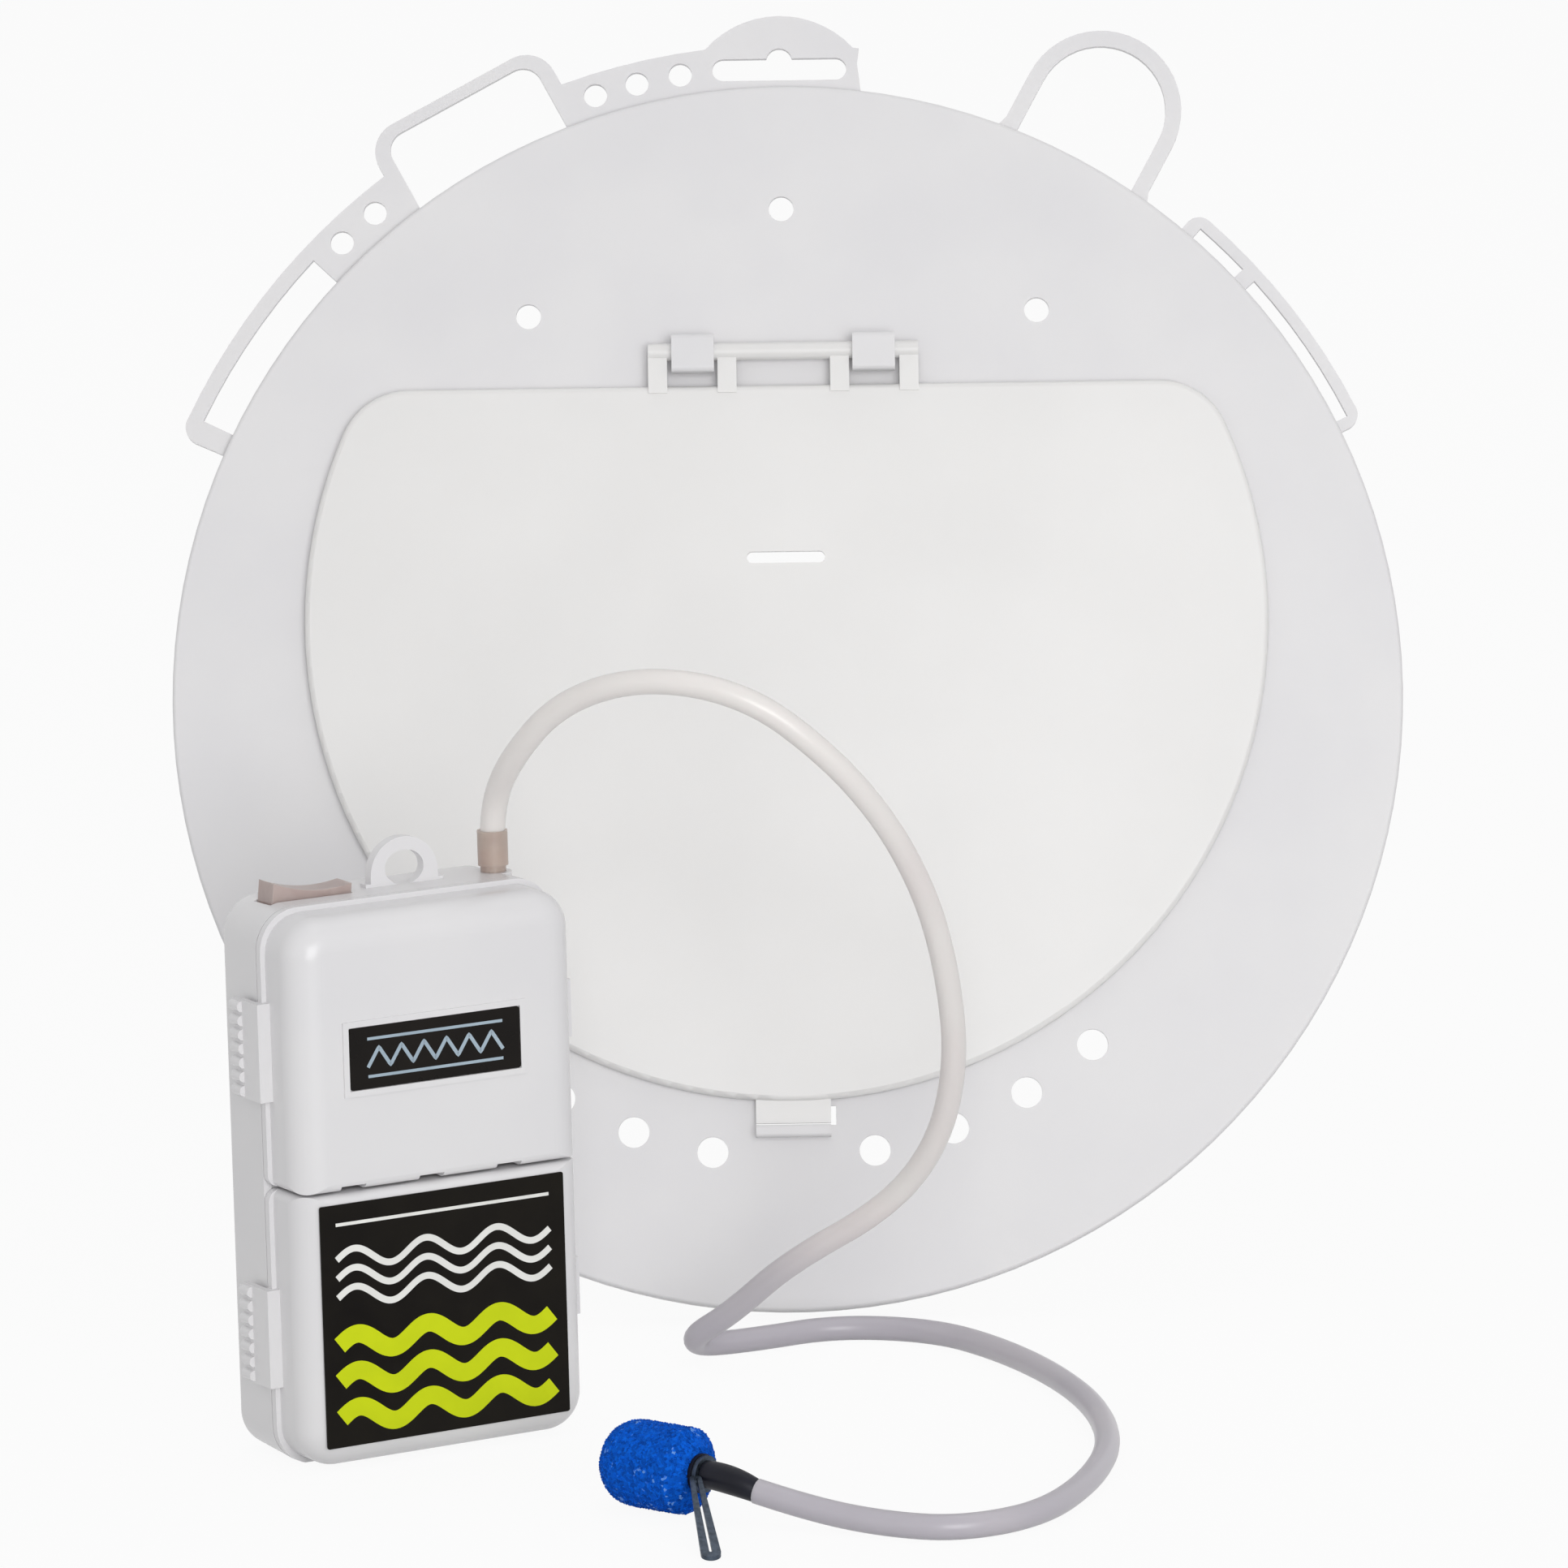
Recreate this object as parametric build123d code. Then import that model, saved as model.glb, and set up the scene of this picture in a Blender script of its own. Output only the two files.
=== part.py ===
from build123d import *
import os
from math import cos, sin, tan, radians, pi

# Press-on bucket lid with a hinged trap door, and the battery air pump, hose and air stone that
# aerate the bucket. Millimetres, Z up, X to the right, -Y towards the front.
# The lid stands on its rim and leans back; the pump stands upright in front of it.

# ---------------------------------------------------------------- lid
RIM_R = 155.0            # outside of the skirt, fits a 5 US gallon pail
LID_T = 2.2              # disc
SKIRT_H = 11.0           # top face to the skirt's lower edge
SKIRT_T = 2.0
CHANNEL_W = 7.5          # channel that the pail's rim goes into
PLUG_T = 1.8             # inner ring of that channel
BEAD = 0.8               # snap bead inside the skirt's lower edge
RIM_ROUND = 0.9
LEAN = 15.0              # degrees back from upright
LID_SPIN = -0.7          # degrees about the lid's own axis, as it happens to stand

# ---------------------------------------------------------------- trap door
DOOR_R = 121.3
DOOR_CY = 18.9           # door centre above the lid's centre
DOOR_TOP = 78.3          # straight upper edge above the lid's centre
DOOR_CORNER = 18.0
DOOR_T = 2.0
DOOR_RISE = 3.9          # door's outer face above the lid's face
DOOR_GAP = 0.3           # under the door's edge lip
DOOR_LIP_T = 1.8
DOOR_EDGE_ROUND = 1.3
LAP = 9.0                # the door laps the opening's edge by this much
COLLAR_T = 1.6           # upstand round the opening
COLLAR_GAP = 0.45        # upstand to the door's underside
SLOT_Y = 34.6            # finger slot
SLOT_L = 19.7
SLOT_W = 2.9

BAR_R = 2.2              # hinge bar of the door
BAR_Y = 87.0
BAR_Z = 3.0
BAR_HALF = 34.1
LEG_W = 4.8
LEG_IN = 14.2            # middle of an inner leg from the centre line
LEG_T = 3.0
HINGE_FIT = 0.08         # radial clearance of the bar in its hooks
HOOK_X = 22.8
HOOK_W = 10.7
HOOK_WALL = 1.9
HOOK_LIP = 3.1           # how far a hook's free end reaches past the bore

TAB_HALF = 9.4           # latch tab
TAB_REACH = 5.6
TAB_T = 2.2
TAB_LIFT = 0.6
CATCH_GAP = 0.4
CATCH_W = 3.0
CATCH_H = 4.8
RELIEF_SIDE = 1.3        # slot beside the tab, on the right only

# ---------------------------------------------------------------- lid holes, ears and loops
HOLE_UP_R = 3.15
HOLE_UP_MID = 123.6
HOLE_UP_RING = 116.3
HOLE_UP_SPREAD = 33.5
HOLE_LOW_R = 3.9
HOLE_LOW_RING = 116.7
HOLE_LOW_PITCH = 10.05

EAR_T = 2.5
EAR_DROP = 2.5           # ear's face below the lid's face
EAR_ROOT = 1.0           # ear runs this far into the skirt
EAR_BAR = 3.8
EAR_A_RISE = 12.2        # each ear, loop and tab by how far it stands out from the rim
EAR_A_R = RIM_R + EAR_A_RISE  # long slotted ear, left
EAR_A_END = 156.0
WINDOW_A = (136.5, 153.9)
TIE_A_ANGLES = (129.6, 133.6)
TIE_A_IN = 5.9           # ring of tie holes inside the ear's edge
TIE_A_RING = EAR_A_R - TIE_A_IN
TIE_R = 2.95
EAR_B_RISE = 11.0
EAR_B_R = RIM_R + EAR_B_RISE  # ear between the square loop and the hang tab
EAR_B_END = 83.0
TIE_B_ANGLES = (99.0, 103.0, 106.9)
TIE_B_IN = 5.5
TIE_B_RING = EAR_B_R - TIE_B_IN
LOOP_A_AT = 118.2        # square loop
LOOP_A_HALF = 25.3
LOOP_A_RISE = 21.0
LOOP_A_TOP = RIM_R + LOOP_A_RISE
LOOP_A_SIDE = 4.0
LOOP_A_BAR = 3.0
LOOP_A_ROUND = 8.0
TAB_RISE = 18.3
TAB_TOP = RIM_R + TAB_RISE  # hang tab
HANG_HALF = 19.4
HANG_SLOT_RISE = 4.6
HANG_SLOT_Y = RIM_R + HANG_SLOT_RISE
HANG_SLOT_L = 34.0
HANG_SLOT_W = 5.6
HANG_BUMP_R = 3.3
LOOP_B_AT = 61.2         # round loop
LOOP_B_RISE = 13.9
LOOP_B_CY = RIM_R + LOOP_B_RISE
LOOP_B_R = 20.4
LOOP_B_BAR = 4.0
LOOP_B_FLARE = 2.4       # wider roots
EAR_C_RISE = 6.2
EAR_C_R = RIM_R + EAR_C_RISE  # double slotted ear, right
EAR_C_ENDS = (24.8, 49.2)
EAR_C_BAR = 2.9
WINDOWS_C = ((25.9, 41.0), (42.5, 47.9))

# ---------------------------------------------------------------- pump, own frame:
# X across, Y back from the seam, Z up, origin at the seam's lower left corner
W = 78.0
H = 134.0
CASE_D = 22.0
CASE_DRAFT = 2.2         # each side is this much narrower at the back
COVER_D = 17.0
WALL = 2.0
CORNER_R = 10.0
BACK_ROUND = 2.5
END_TRIM = 0.05          # cut off each end of the case, which leaves it flat to stand on
FACE_ROUND = 7.5         # rolled edge of the covers
FLANGE_IN = 1.2          # covers step in from their flange
FLANGE_T = 2.0
SPLIT_Z = 67.6           # line between the two covers
SPLIT_GAP = 0.6
SPLIT_ROUND = 2.0
SPLIT_WALL = 0.8         # lower cover's wall at the split, thin to leave the contacts room
FOOT_LIFT = 0.4          # lower cover clears the floor
SEAM_GAP = 0.3
SHELF_T = 2.0
VENT_W = 6.5
VENT_PITCH = 20.8
VENT_H = 1.2
PUMP_AT = (-126.4, -134.0)
PUMP_YAW = 30.0

SNAP_Z = (31.7, 100.5)   # middle of each cover's snap tab
SNAP_H = 23.6
SNAP_T = 1.6
SNAP_GAP = 0.5
SNAP_FRONT = 4.0
SNAP_BACK = 8.6
GRIPS = 7
GRIP_R = 1.3

PIN_R = 0.8              # cover hinges
KNUCKLE_R = 2.2
KNUCKLE_OUT = 2.4        # hinge axis outside the seam edge
KNUCKLE_Y = 4.0
KNUCKLE_H = 6.0
BARREL_H = 14.0
END_GAP = 0.4
HINGE_Z = (33.0, 101.0)
PIN_FIT = 0.06

RING_X = 44.5            # hang ring
RING_Y = 10.0
RING_T = 3.0
RING_W = 18.0
RING_TOP = 11.4
RING_HOLE_W = 10.4
RING_HOLE_H = 8.4

BADGE_X = 37.6           # panel on the upper cover
BADGE_Z = 99.2
BADGE_W = 45.4
BADGE_H = 14.8
BADGE_T = 0.5
BADGE_RIM = 1.6
LABEL_X = 38.2           # panel on the lower cover
LABEL_Z = 35.9
LABEL_W = 65.2
LABEL_H = 58.4
LABEL_T = 0.3
PANEL_GAP = 0.15

# ---------------------------------------------------------------- rocker switch
ROCK_X = 18.2
ROCK_Y = 10.0
ROCK_L = 20.8
ROCK_W = 7.6
ROCK_RISE = 3.4          # rocker's ends above the case when it lies level
ROCK_H = 7.9
ROCK_TILT = 6.0          # degrees either way; it is drawn with its left end up
ROCK_TOP = H + ROCK_RISE
ROCK_LOW = ROCK_TOP - ROCK_H
ROCK_DIP = 1.6
PIVOT_DROP = 3.0         # trunnions below the case's top
ROCK_PIVOT = H - PIVOT_DROP
ROCK_GAP = 0.55
TRUNNION_R = 1.0
HOUSING_T = 1.2
HOUSING_H = 16.0
HOUSING_LOW = H - WALL - HOUSING_H
BLADE_L = 6.0
BLADE_W = 2.8
BLADE_T = 0.8
BLADE_X = 6.0            # either side of the rocker's middle

# ---------------------------------------------------------------- air outlet
OUT_X = 69.0
OUT_Y = 9.5
BARB_R = 2.0
BARB_BORE = 1.1
BARB_DEPTH = 13.0        # barb below the case's top
BARB_LOW = H - BARB_DEPTH
BARB_FLANGE_R = 3.4
BARB_FLANGE_T = 1.5
BOSS_R = 4.4             # boss on the case's top wall that the barb comes up through
BOSS_DEPTH = 5.0
BOSS_LOW = H - BOSS_DEPTH
COUPLER_R = 3.65
COUPLER_NECK_R = 3.1
COUPLER_H = 10.0
SOCKET_H = 4.0
HOSE_R = 3.0
HOSE_BORE = 1.6

# ---------------------------------------------------------------- cells and contacts
CELL_R = 16.6
CELL_L = 59.8
NUB_R = 4.8
NUB_H = 1.5
CELL_PITCH = 35.0
CELL_Y = 3.0
PLATE_T = 0.6
PLATE_LIFT = 1.4         # step under the lower contact plate
PLATE_FRONT = 0.5        # contact plates stay in the case, behind the seam
SPRING_R = (4.0, 6.5)
SPRING_WALL = 0.9
CELL_RIB = 0.8

# ---------------------------------------------------------------- motor and air pump
MECH_Y = 2.0             # plane that the crank, arm and diaphragm work in
MOTOR_X = (6.0, 33.0)
MOTOR_Z = 88.0
MOTOR_R = 12.0
MOTOR_WALL = 0.8
ENDCAP_T = 2.0
SHAFT_R = 1.0
SHAFT_FIT = 0.05
ROTOR_R = 8.5
ECC_R = 7.0
ECC_X = (35.0, 40.0)
THROW = 1.2
CRANK_R = 1.0
CRANK_L = 5.9
ARM_X = 42.3             # end plate with the crank's window
ARM_PLATE = 3.0
ARM_T = 3.6
ARM_W = 8.0
ARM_TOP = 98.6
ARM_SWING = 2.4          # degrees either way
WINDOW_CLEAR = 0.4
DIAPH_X = 56.5
DIAPH_R = 9.5
PIVOT_X = 67.5
HEAD_X = (47.5, 73.5)
HEAD_Y = (-8.6, 18.0)
HEAD_Z = (70.6, 80.0)
CHAMBER_R = 10.0
CHAMBER_H = 5.0
CHAMBER_WALL = 2.2
EAR_GAP = 0.5
EAR_W = 2.0
PIVOT_R = 1.0
TUBE_Y = 15.2
TUBE_R = 2.9
NIPPLE_H = 6.0
SADDLE_X = (11.0, 26.0)
STRAP_X = (14.0, 22.0)
STRAP_T = 0.8
STRAP_FOOT = 5.8         # the strap's feet reach this far past the motor
SCREW_OUT = 3.4          # screws sit this far past the motor
SCREW_R = 1.1
SCREW_HEAD_R = 2.4
SCREW_L = 8.0
WIRE_R = 0.7

# ---------------------------------------------------------------- air stone, lying on the floor
STONE_R = 10.4
STONE_L = 24.9
STONE_DOME = 7.2
STONE_CHAMFER = 3.4
STONE_END_R = 6.2        # flat end round the washer
STONE_TIP = (-44.69, -176.52)
STONE_AZIMUTH = -38.2
WASHER_R = 4.6
WASHER_T = 0.9
STEM_R = 2.0
STEM_DEPTH = 14.0        # how deep the stem goes into the stone
STEM_END = 3.0           # and into the sleeve
CLIP_T = 1.1
CLIP_FIT = 0.12          # between the clip's eye and the stem that it turns on
CLIP_GAP = 0.15
CLIP_RING_R = 4.3
CLIP_W = 2.8             # leg at the eye
CLIP_TIP_W = 4.6         # and at its tip
CLIP_SLOT = 0.7
CLIP_TIP = (-22.4, -232.5)
SLEEVE_R = (3.2, 3.3, 2.7)
SPIGOT_L = 4.0           # sleeve's thin end, inside the hose
SPIGOT_FIT = 0.05
HOSE_FLOOR = 3.1         # centre line of hose lying on the floor
HOSE_END = (-12.0, -199.2, 7.6)


def polar(r, a):
    return (r * cos(radians(a)), r * sin(radians(a)))


def box(x, y, z):
    """Box between three pairs of limits."""
    size = [b - a for a, b in (x, y, z)]
    mid = [(a + b) / 2 for a, b in (x, y, z)]
    return Pos(*mid) * Box(*size)


def rod(r, a, b):
    """Round bar of radius r from point a to point b."""
    a, b = Vector(*a), Vector(*b)
    return extrude(Plane(origin=a, z_dir=b - a) * Circle(r), (b - a).length)


def ring(r_out, r_in, z0, z1):
    h = z1 - z0
    return Pos(0, 0, (z0 + z1) / 2) * (Cylinder(r_out, h) - Cylinder(r_in, h))


def sector(r0, r1, a0, a1):
    """Flat ring sector between two radii and two angles."""
    mid = (a0 + a1) / 2
    edges = [
        ThreePointArc(polar(r1, a0), polar(r1, mid), polar(r1, a1)),
        Line(polar(r1, a1), polar(r0, a1)),
        ThreePointArc(polar(r0, a1), polar(r0, mid), polar(r0, a0)),
        Line(polar(r0, a0), polar(r1, a0)),
    ]
    return make_face(edges)


def rect(x, y):
    return Pos((x[0] + x[1]) / 2, (y[0] + y[1]) / 2) * Rectangle(x[1] - x[0], y[1] - y[0])


def round_near(sketch, points, r):
    """Rounds the corners of a sketch that lie nearest to the given points."""
    corners = [min(sketch.vertices(), key=lambda v: (Vector(v) - Vector(*p)).length) for p in points]
    return fillet(corners, r)


def front(y):
    """Plane that faces the viewer at depth y of the pump: local x is X, local y is Z."""
    return Plane(origin=(0, y, 0), x_dir=(1, 0, 0), z_dir=(0, -1, 0))


# ================================================================ lid
def door_outline(inset):
    r = DOOR_R - inset
    top = DOOR_TOP - inset
    cut = rect((-r, r), (DOOR_CY - r - 1, top))
    shape = (Pos(0, DOOR_CY) * Circle(r)) & cut
    half = (r ** 2 - (top - DOOR_CY) ** 2) ** 0.5
    return round_near(shape, [(-half, top), (half, top)], DOOR_CORNER - inset / 2)


def turned(shape, angle):
    """Turns a shape drawn about the top of the lid round to another angle."""
    return Rot(0, 0, angle - 90) * shape


def square_loop():
    half, inner = LOOP_A_HALF, LOOP_A_HALF - LOOP_A_SIDE
    root = RIM_R * cos(radians(12)) - EAR_ROOT
    outer = rect((-half, half), (root, LOOP_A_TOP))
    outer = round_near(outer, [(-half, LOOP_A_TOP), (half, LOOP_A_TOP)], LOOP_A_ROUND)
    top = LOOP_A_TOP - LOOP_A_BAR
    hole = rect((-inner, inner), (root - 5, top))
    hole = round_near(hole, [(-inner, top), (inner, top)], LOOP_A_ROUND - LOOP_A_BAR)
    return turned(outer, LOOP_A_AT), turned(hole, LOOP_A_AT)


def round_loop():
    root = RIM_R - 6
    bar = LOOP_B_R - LOOP_B_BAR

    def arch(r):
        return Pos(0, LOOP_B_CY) * Circle(r) + rect((-r, r), (root, LOOP_B_CY))

    wide, narrow = LOOP_B_R + LOOP_B_FLARE, LOOP_B_R - 0.5
    top = LOOP_B_CY - 11
    flare = Polygon((-wide, root), (wide, root), (narrow, top), (-narrow, top), align=None)
    return turned(arch(LOOP_B_R) + flare, LOOP_B_AT), turned(arch(bar), LOOP_B_AT)


def hang_tab():
    side = EAR_B_R * cos(radians(7)) - 0.6
    crown = make_face([
        ThreePointArc((-HANG_HALF, side), (0, TAB_TOP), (HANG_HALF, side)),
        Line((HANG_HALF, side), (HANG_HALF + 1.5, RIM_R - 4)),
        Line((HANG_HALF + 1.5, RIM_R - 4), (-HANG_HALF, RIM_R - 4)),
        Line((-HANG_HALF, RIM_R - 4), (-HANG_HALF, side)),
    ])
    slot = Pos(0, HANG_SLOT_Y) * SlotOverall(HANG_SLOT_L, HANG_SLOT_W)
    slot += Pos(0, HANG_SLOT_Y + HANG_SLOT_W / 2 - 0.7) * Circle(HANG_BUMP_R)
    return crown, slot


def ears():
    """Flat ears, loops and hang tab round the top of the lid, as one plate."""
    root = RIM_R - EAR_ROOT
    end_a = LOOP_A_AT + 8
    end_b = LOOP_A_AT - 8
    ear_a = sector(root, EAR_A_R, end_a, EAR_A_END)
    ear_a = round_near(ear_a, [polar(EAR_A_R, EAR_A_END)], 4.5)
    ear_b = sector(root, EAR_B_R, EAR_B_END, end_b)
    ear_c = sector(root, EAR_C_R, *EAR_C_ENDS)
    ear_c = round_near(ear_c, [polar(EAR_C_R, a) for a in EAR_C_ENDS], 4.0)
    loop_a, hole_a = square_loop()
    loop_b, hole_b = round_loop()
    crown, slot = hang_tab()
    plate = ear_a + ear_b + ear_c + loop_a + loop_b + crown
    plate -= sector(root - 2, EAR_A_R - EAR_BAR, *WINDOW_A)
    plate -= hole_a
    plate -= hole_b
    plate -= slot
    for a0, a1 in WINDOWS_C:
        plate -= sector(root - 2, EAR_C_R - EAR_C_BAR, a0, a1)
    for a in TIE_A_ANGLES:
        plate -= Pos(*polar(TIE_A_RING, a)) * Circle(TIE_R)
    for a in TIE_B_ANGLES:
        plate -= Pos(*polar(TIE_B_RING, a)) * Circle(TIE_R)
    plate -= Circle(root)
    return extrude(Pos(0, 0, -EAR_DROP - EAR_T) * plate, EAR_T)


def lid_hole_places():
    """Centre and radius of each round hole through the lid."""
    places = [(0.0, HOLE_UP_MID, HOLE_UP_R)]
    for s in (-1, 1):
        places.append((*polar(HOLE_UP_RING, 90 + s * HOLE_UP_SPREAD), HOLE_UP_R))
        for k in range(1, 5):
            places.append((*polar(HOLE_LOW_RING, -90 + s * k * HOLE_LOW_PITCH), HOLE_LOW_R))
    return places


def hinge_hook(x):
    """C-shaped hook over the door's hinge bar, open towards the door."""
    r = BAR_R + HINGE_FIT
    top = BAR_Z + r + HOOK_WALL
    back = BAR_Y + r + HOOK_WALL
    tip = BAR_Y - r - HOOK_LIP
    xs = (x - HOOK_W / 2, x + HOOK_W / 2)
    body = box(xs, (tip, back), (-LID_T / 2, top))
    body = fillet(body.edges().filter_by(Axis.X).group_by(Axis.Z)[-1], 1.2)
    body -= box((xs[0] - 1, xs[1] + 1), (tip - 1, BAR_Y), (-LID_T, BAR_Z))
    return body - rod(r, (xs[0] - 1, BAR_Y, BAR_Z), (xs[1] + 1, BAR_Y, BAR_Z))


def lid_shell():
    disc = Pos(0, 0, -LID_T / 2) * Cylinder(RIM_R, LID_T)
    body = disc + ring(RIM_R, RIM_R - SKIRT_T, -SKIRT_H, 0)
    plug_r = RIM_R - SKIRT_T - CHANNEL_W
    body += ring(plug_r, plug_r - PLUG_T, -SKIRT_H + 1, 0)
    body += ring(RIM_R - SKIRT_T, RIM_R - SKIRT_T - BEAD, -SKIRT_H, -SKIRT_H + 1.6)
    rim = body.edges().filter_by(GeomType.CIRCLE).group_by(Axis.Z)[-1]
    body = fillet(rim, RIM_ROUND)
    opening = door_outline(LAP)
    collar_h = DOOR_RISE - DOOR_T - COLLAR_GAP
    collar = door_outline(LAP - COLLAR_T) - opening
    body += extrude(collar, collar_h)
    body -= extrude(Pos(0, 0, -SKIRT_H) * opening, 2 * SKIRT_H)
    for x, y, r in lid_hole_places():
        body -= Pos(x, y, -LID_T / 2) * Cylinder(r, 2 * LID_T)
    for s in (-1, 1):
        body += hinge_hook(s * HOOK_X)
    low = DOOR_CY - DOOR_R
    tab_end = low - TAB_REACH
    catch_y = (tab_end - CATCH_GAP - CATCH_W, tab_end - CATCH_GAP)
    catch = box((-TAB_HALF, TAB_HALF), catch_y, (-LID_T / 2, CATCH_H))
    catch = fillet(catch.edges().filter_by(Axis.X).group_by(Axis.Z)[-1], 0.8)
    body -= box((-TAB_HALF, TAB_HALF + RELIEF_SIDE), (catch_y[1], low - 1.2), (-LID_T - 1, 1))
    body += catch
    return body + ears()


def trap_door():
    outline = door_outline(0)
    plate = extrude(Pos(0, 0, DOOR_GAP) * outline, DOOR_RISE - DOOR_GAP)
    rim = plate.faces().sort_by(Axis.Z)[-1].edges()
    plate = fillet(rim, DOOR_EDGE_ROUND)
    plate -= extrude(Pos(0, 0, -1) * door_outline(DOOR_LIP_T), DOOR_RISE - DOOR_T + 1)
    plate -= extrude(Pos(0, SLOT_Y, -1) * SlotOverall(SLOT_L, SLOT_W), DOOR_RISE + 2)
    bar = rod(BAR_R, (-BAR_HALF, BAR_Y, BAR_Z), (BAR_HALF, BAR_Y, BAR_Z))
    door = plate + bar
    for x in (-BAR_HALF + LEG_W / 2, -LEG_IN, LEG_IN, BAR_HALF - LEG_W / 2):
        leg_z = (BAR_Z - LEG_T / 2, BAR_Z + LEG_T / 2)
        door += box((x - LEG_W / 2, x + LEG_W / 2), (DOOR_TOP - DOOR_LIP_T, BAR_Y), leg_z)
    low = DOOR_CY - DOOR_R
    tab = box((-TAB_HALF, TAB_HALF), (low - TAB_REACH, low + 2.2), (TAB_LIFT, TAB_LIFT + TAB_T))
    return door + tab


# ================================================================ pump shells
def case_loft(inset, depth, trim=0.0):
    """Tapered tray block with its open side at the seam, and a trim allowance on both ends."""
    shrink = CASE_DRAFT * depth / CASE_D
    centre = Pos(W / 2, H / 2)
    tall = H - 2 * inset + 2 * trim
    wide = RectangleRounded(W - 2 * inset, tall, CORNER_R - inset)
    narrow = RectangleRounded(W - 2 * inset - 2 * shrink, tall, CORNER_R - inset - 0.5)
    return loft([front(0) * centre * wide, front(depth) * centre * narrow])


def hang_ring():
    half = RING_W / 2
    base = H - 1
    centre = H + RING_TOP - half
    plate = rect((RING_X - half - 1.4, RING_X + half + 1.4), (base, H + 0.8))
    plate += rect((RING_X - half, RING_X + half), (base, centre))
    plate += Pos(RING_X, centre) * Circle(half)
    hole_z = H + RING_TOP - (half - RING_HOLE_W / 2) + 0.6 - RING_HOLE_H / 2
    plate -= Pos(RING_X, hole_z) * Ellipse(RING_HOLE_W / 2, RING_HOLE_H / 2)
    return extrude(front(RING_Y + RING_T / 2) * plate, RING_T)


def knuckles(z_mid):
    """Pair of hinge ears on the case's right side, one above and one below the cover's barrel."""
    x = W + KNUCKLE_OUT
    out = []
    for s in (-1, 1):
        near = z_mid + s * (BARREL_H / 2 + END_GAP)
        far = near + s * KNUCKLE_H
        zs = (min(near, far), max(near, far))
        ear = rod(KNUCKLE_R, (x, KNUCKLE_Y, zs[0]), (x, KNUCKLE_Y, zs[1]))
        ear += box((W - WALL, x), (KNUCKLE_Y - KNUCKLE_R, KNUCKLE_Y + KNUCKLE_R), zs)
        out.append(ear)
    return out


def pump_case():
    body = case_loft(0, CASE_D, END_TRIM)
    body = fillet(body.faces().sort_by(Axis.Y)[-1].edges(), BACK_ROUND)
    body &= box((-1, W + 1), (-1, CASE_D + 1), (0, H))
    body -= case_loft(WALL, CASE_D - WALL)
    floor_y = CASE_D - WALL
    shelf_z = (SPLIT_Z - SHELF_T / 2, SPLIT_Z + SHELF_T / 2)
    shelf = box((WALL / 2, W - WALL / 2), (SEAM_GAP, floor_y + 1), shelf_z)
    body += shelf & case_loft(WALL / 2, floor_y + 1)
    rib_x = (W / 2 - CELL_RIB / 2, W / 2 + CELL_RIB / 2)
    body += box(rib_x, (CELL_Y + 8, floor_y + 1), (WALL - 1, shelf_z[0] + 1))
    body += motor_saddle()
    body += bay_step()
    body += hang_ring()
    body += rod(BOSS_R, (OUT_X, OUT_Y, BOSS_LOW), (OUT_X, OUT_Y, H))
    for z in HINGE_Z:
        for ear in knuckles(z):
            body += ear
    x = W + KNUCKLE_OUT
    body -= rod(PIN_R, (x, KNUCKLE_Y, 0), (x, KNUCKLE_Y, H))
    body -= box((ROCK_X - rock_half(), ROCK_X + rock_half()),
                (ROCK_Y - rock_depth(), ROCK_Y + rock_depth()), (H - WALL - 1, H + 1))
    return body - rod(BARB_R, (OUT_X, OUT_Y, BOSS_LOW - 1), (OUT_X, OUT_Y, H + 1))


def cover_block(inset):
    """Rolled-edge block for both covers, seam side at y = 0."""
    step = FLANGE_IN + inset
    outline = Pos(W / 2, H / 2) * RectangleRounded(W - 2 * step, H - 2 * step, CORNER_R - step + 0.6)
    block = extrude(front(0) * outline, COVER_D - inset)
    return fillet(block.faces().sort_by(Axis.Y)[0].edges(), FACE_ROUND - inset)


def cover_slab(z0, z1, split_z):
    """Slab that one cover is cut from, with its edges rounded at the split."""
    slab = box((FLANGE_IN, W - FLANGE_IN), (-COVER_D, 0), (z0, z1))
    edges = [e for e in slab.edges() if abs(e.center().Z - split_z) < 0.01 and e.center().Y < -0.01]
    return fillet(edges, SPLIT_ROUND)


def flange(z0, z1, split_z):
    outline = (Pos(W / 2, H / 2) * RectangleRounded(W, H, CORNER_R)) & rect((0, W), (z0, z1))
    outline = round_near(outline, [(0, split_z), (W, split_z)], SPLIT_ROUND + 1)
    return extrude(front(-SEAM_GAP) * outline, FLANGE_T)


def cover_shell(z0, z1, split_z):
    out = cover_block(0) & cover_slab(z0, z1, split_z)
    out += flange(z0, z1, split_z)
    cavity_z = (z0 + WALL, z1) if split_z == z0 else (z0, z1 - SPLIT_WALL)
    cavity = cover_block(WALL) & box((0, W), (-COVER_D, 1), cavity_z)
    return out - cavity - box((-5, W + 5), (-SEAM_GAP, 1), (z0 - 5, z1 + 5))


def snap_tab(z_mid):
    """Finger tab on a cover's left side, lying over the case's side, with a ribbed grip."""
    z = (z_mid - SNAP_H / 2, z_mid + SNAP_H / 2)
    x0, x1 = -SNAP_GAP - SNAP_T, -SNAP_GAP
    tab = box((x0, x1), (-SNAP_FRONT, SNAP_BACK), z)
    tab += box((x0, FLANGE_IN + 1), (-SNAP_FRONT, -SEAM_GAP), z)
    pitch = SNAP_H / GRIPS
    for k in range(GRIPS):
        zk = z[0] + (k + 0.5) * pitch
        tab += rod(GRIP_R, (x0, SNAP_FRONT, zk), (x0, SNAP_BACK, zk))
    return tab


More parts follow.
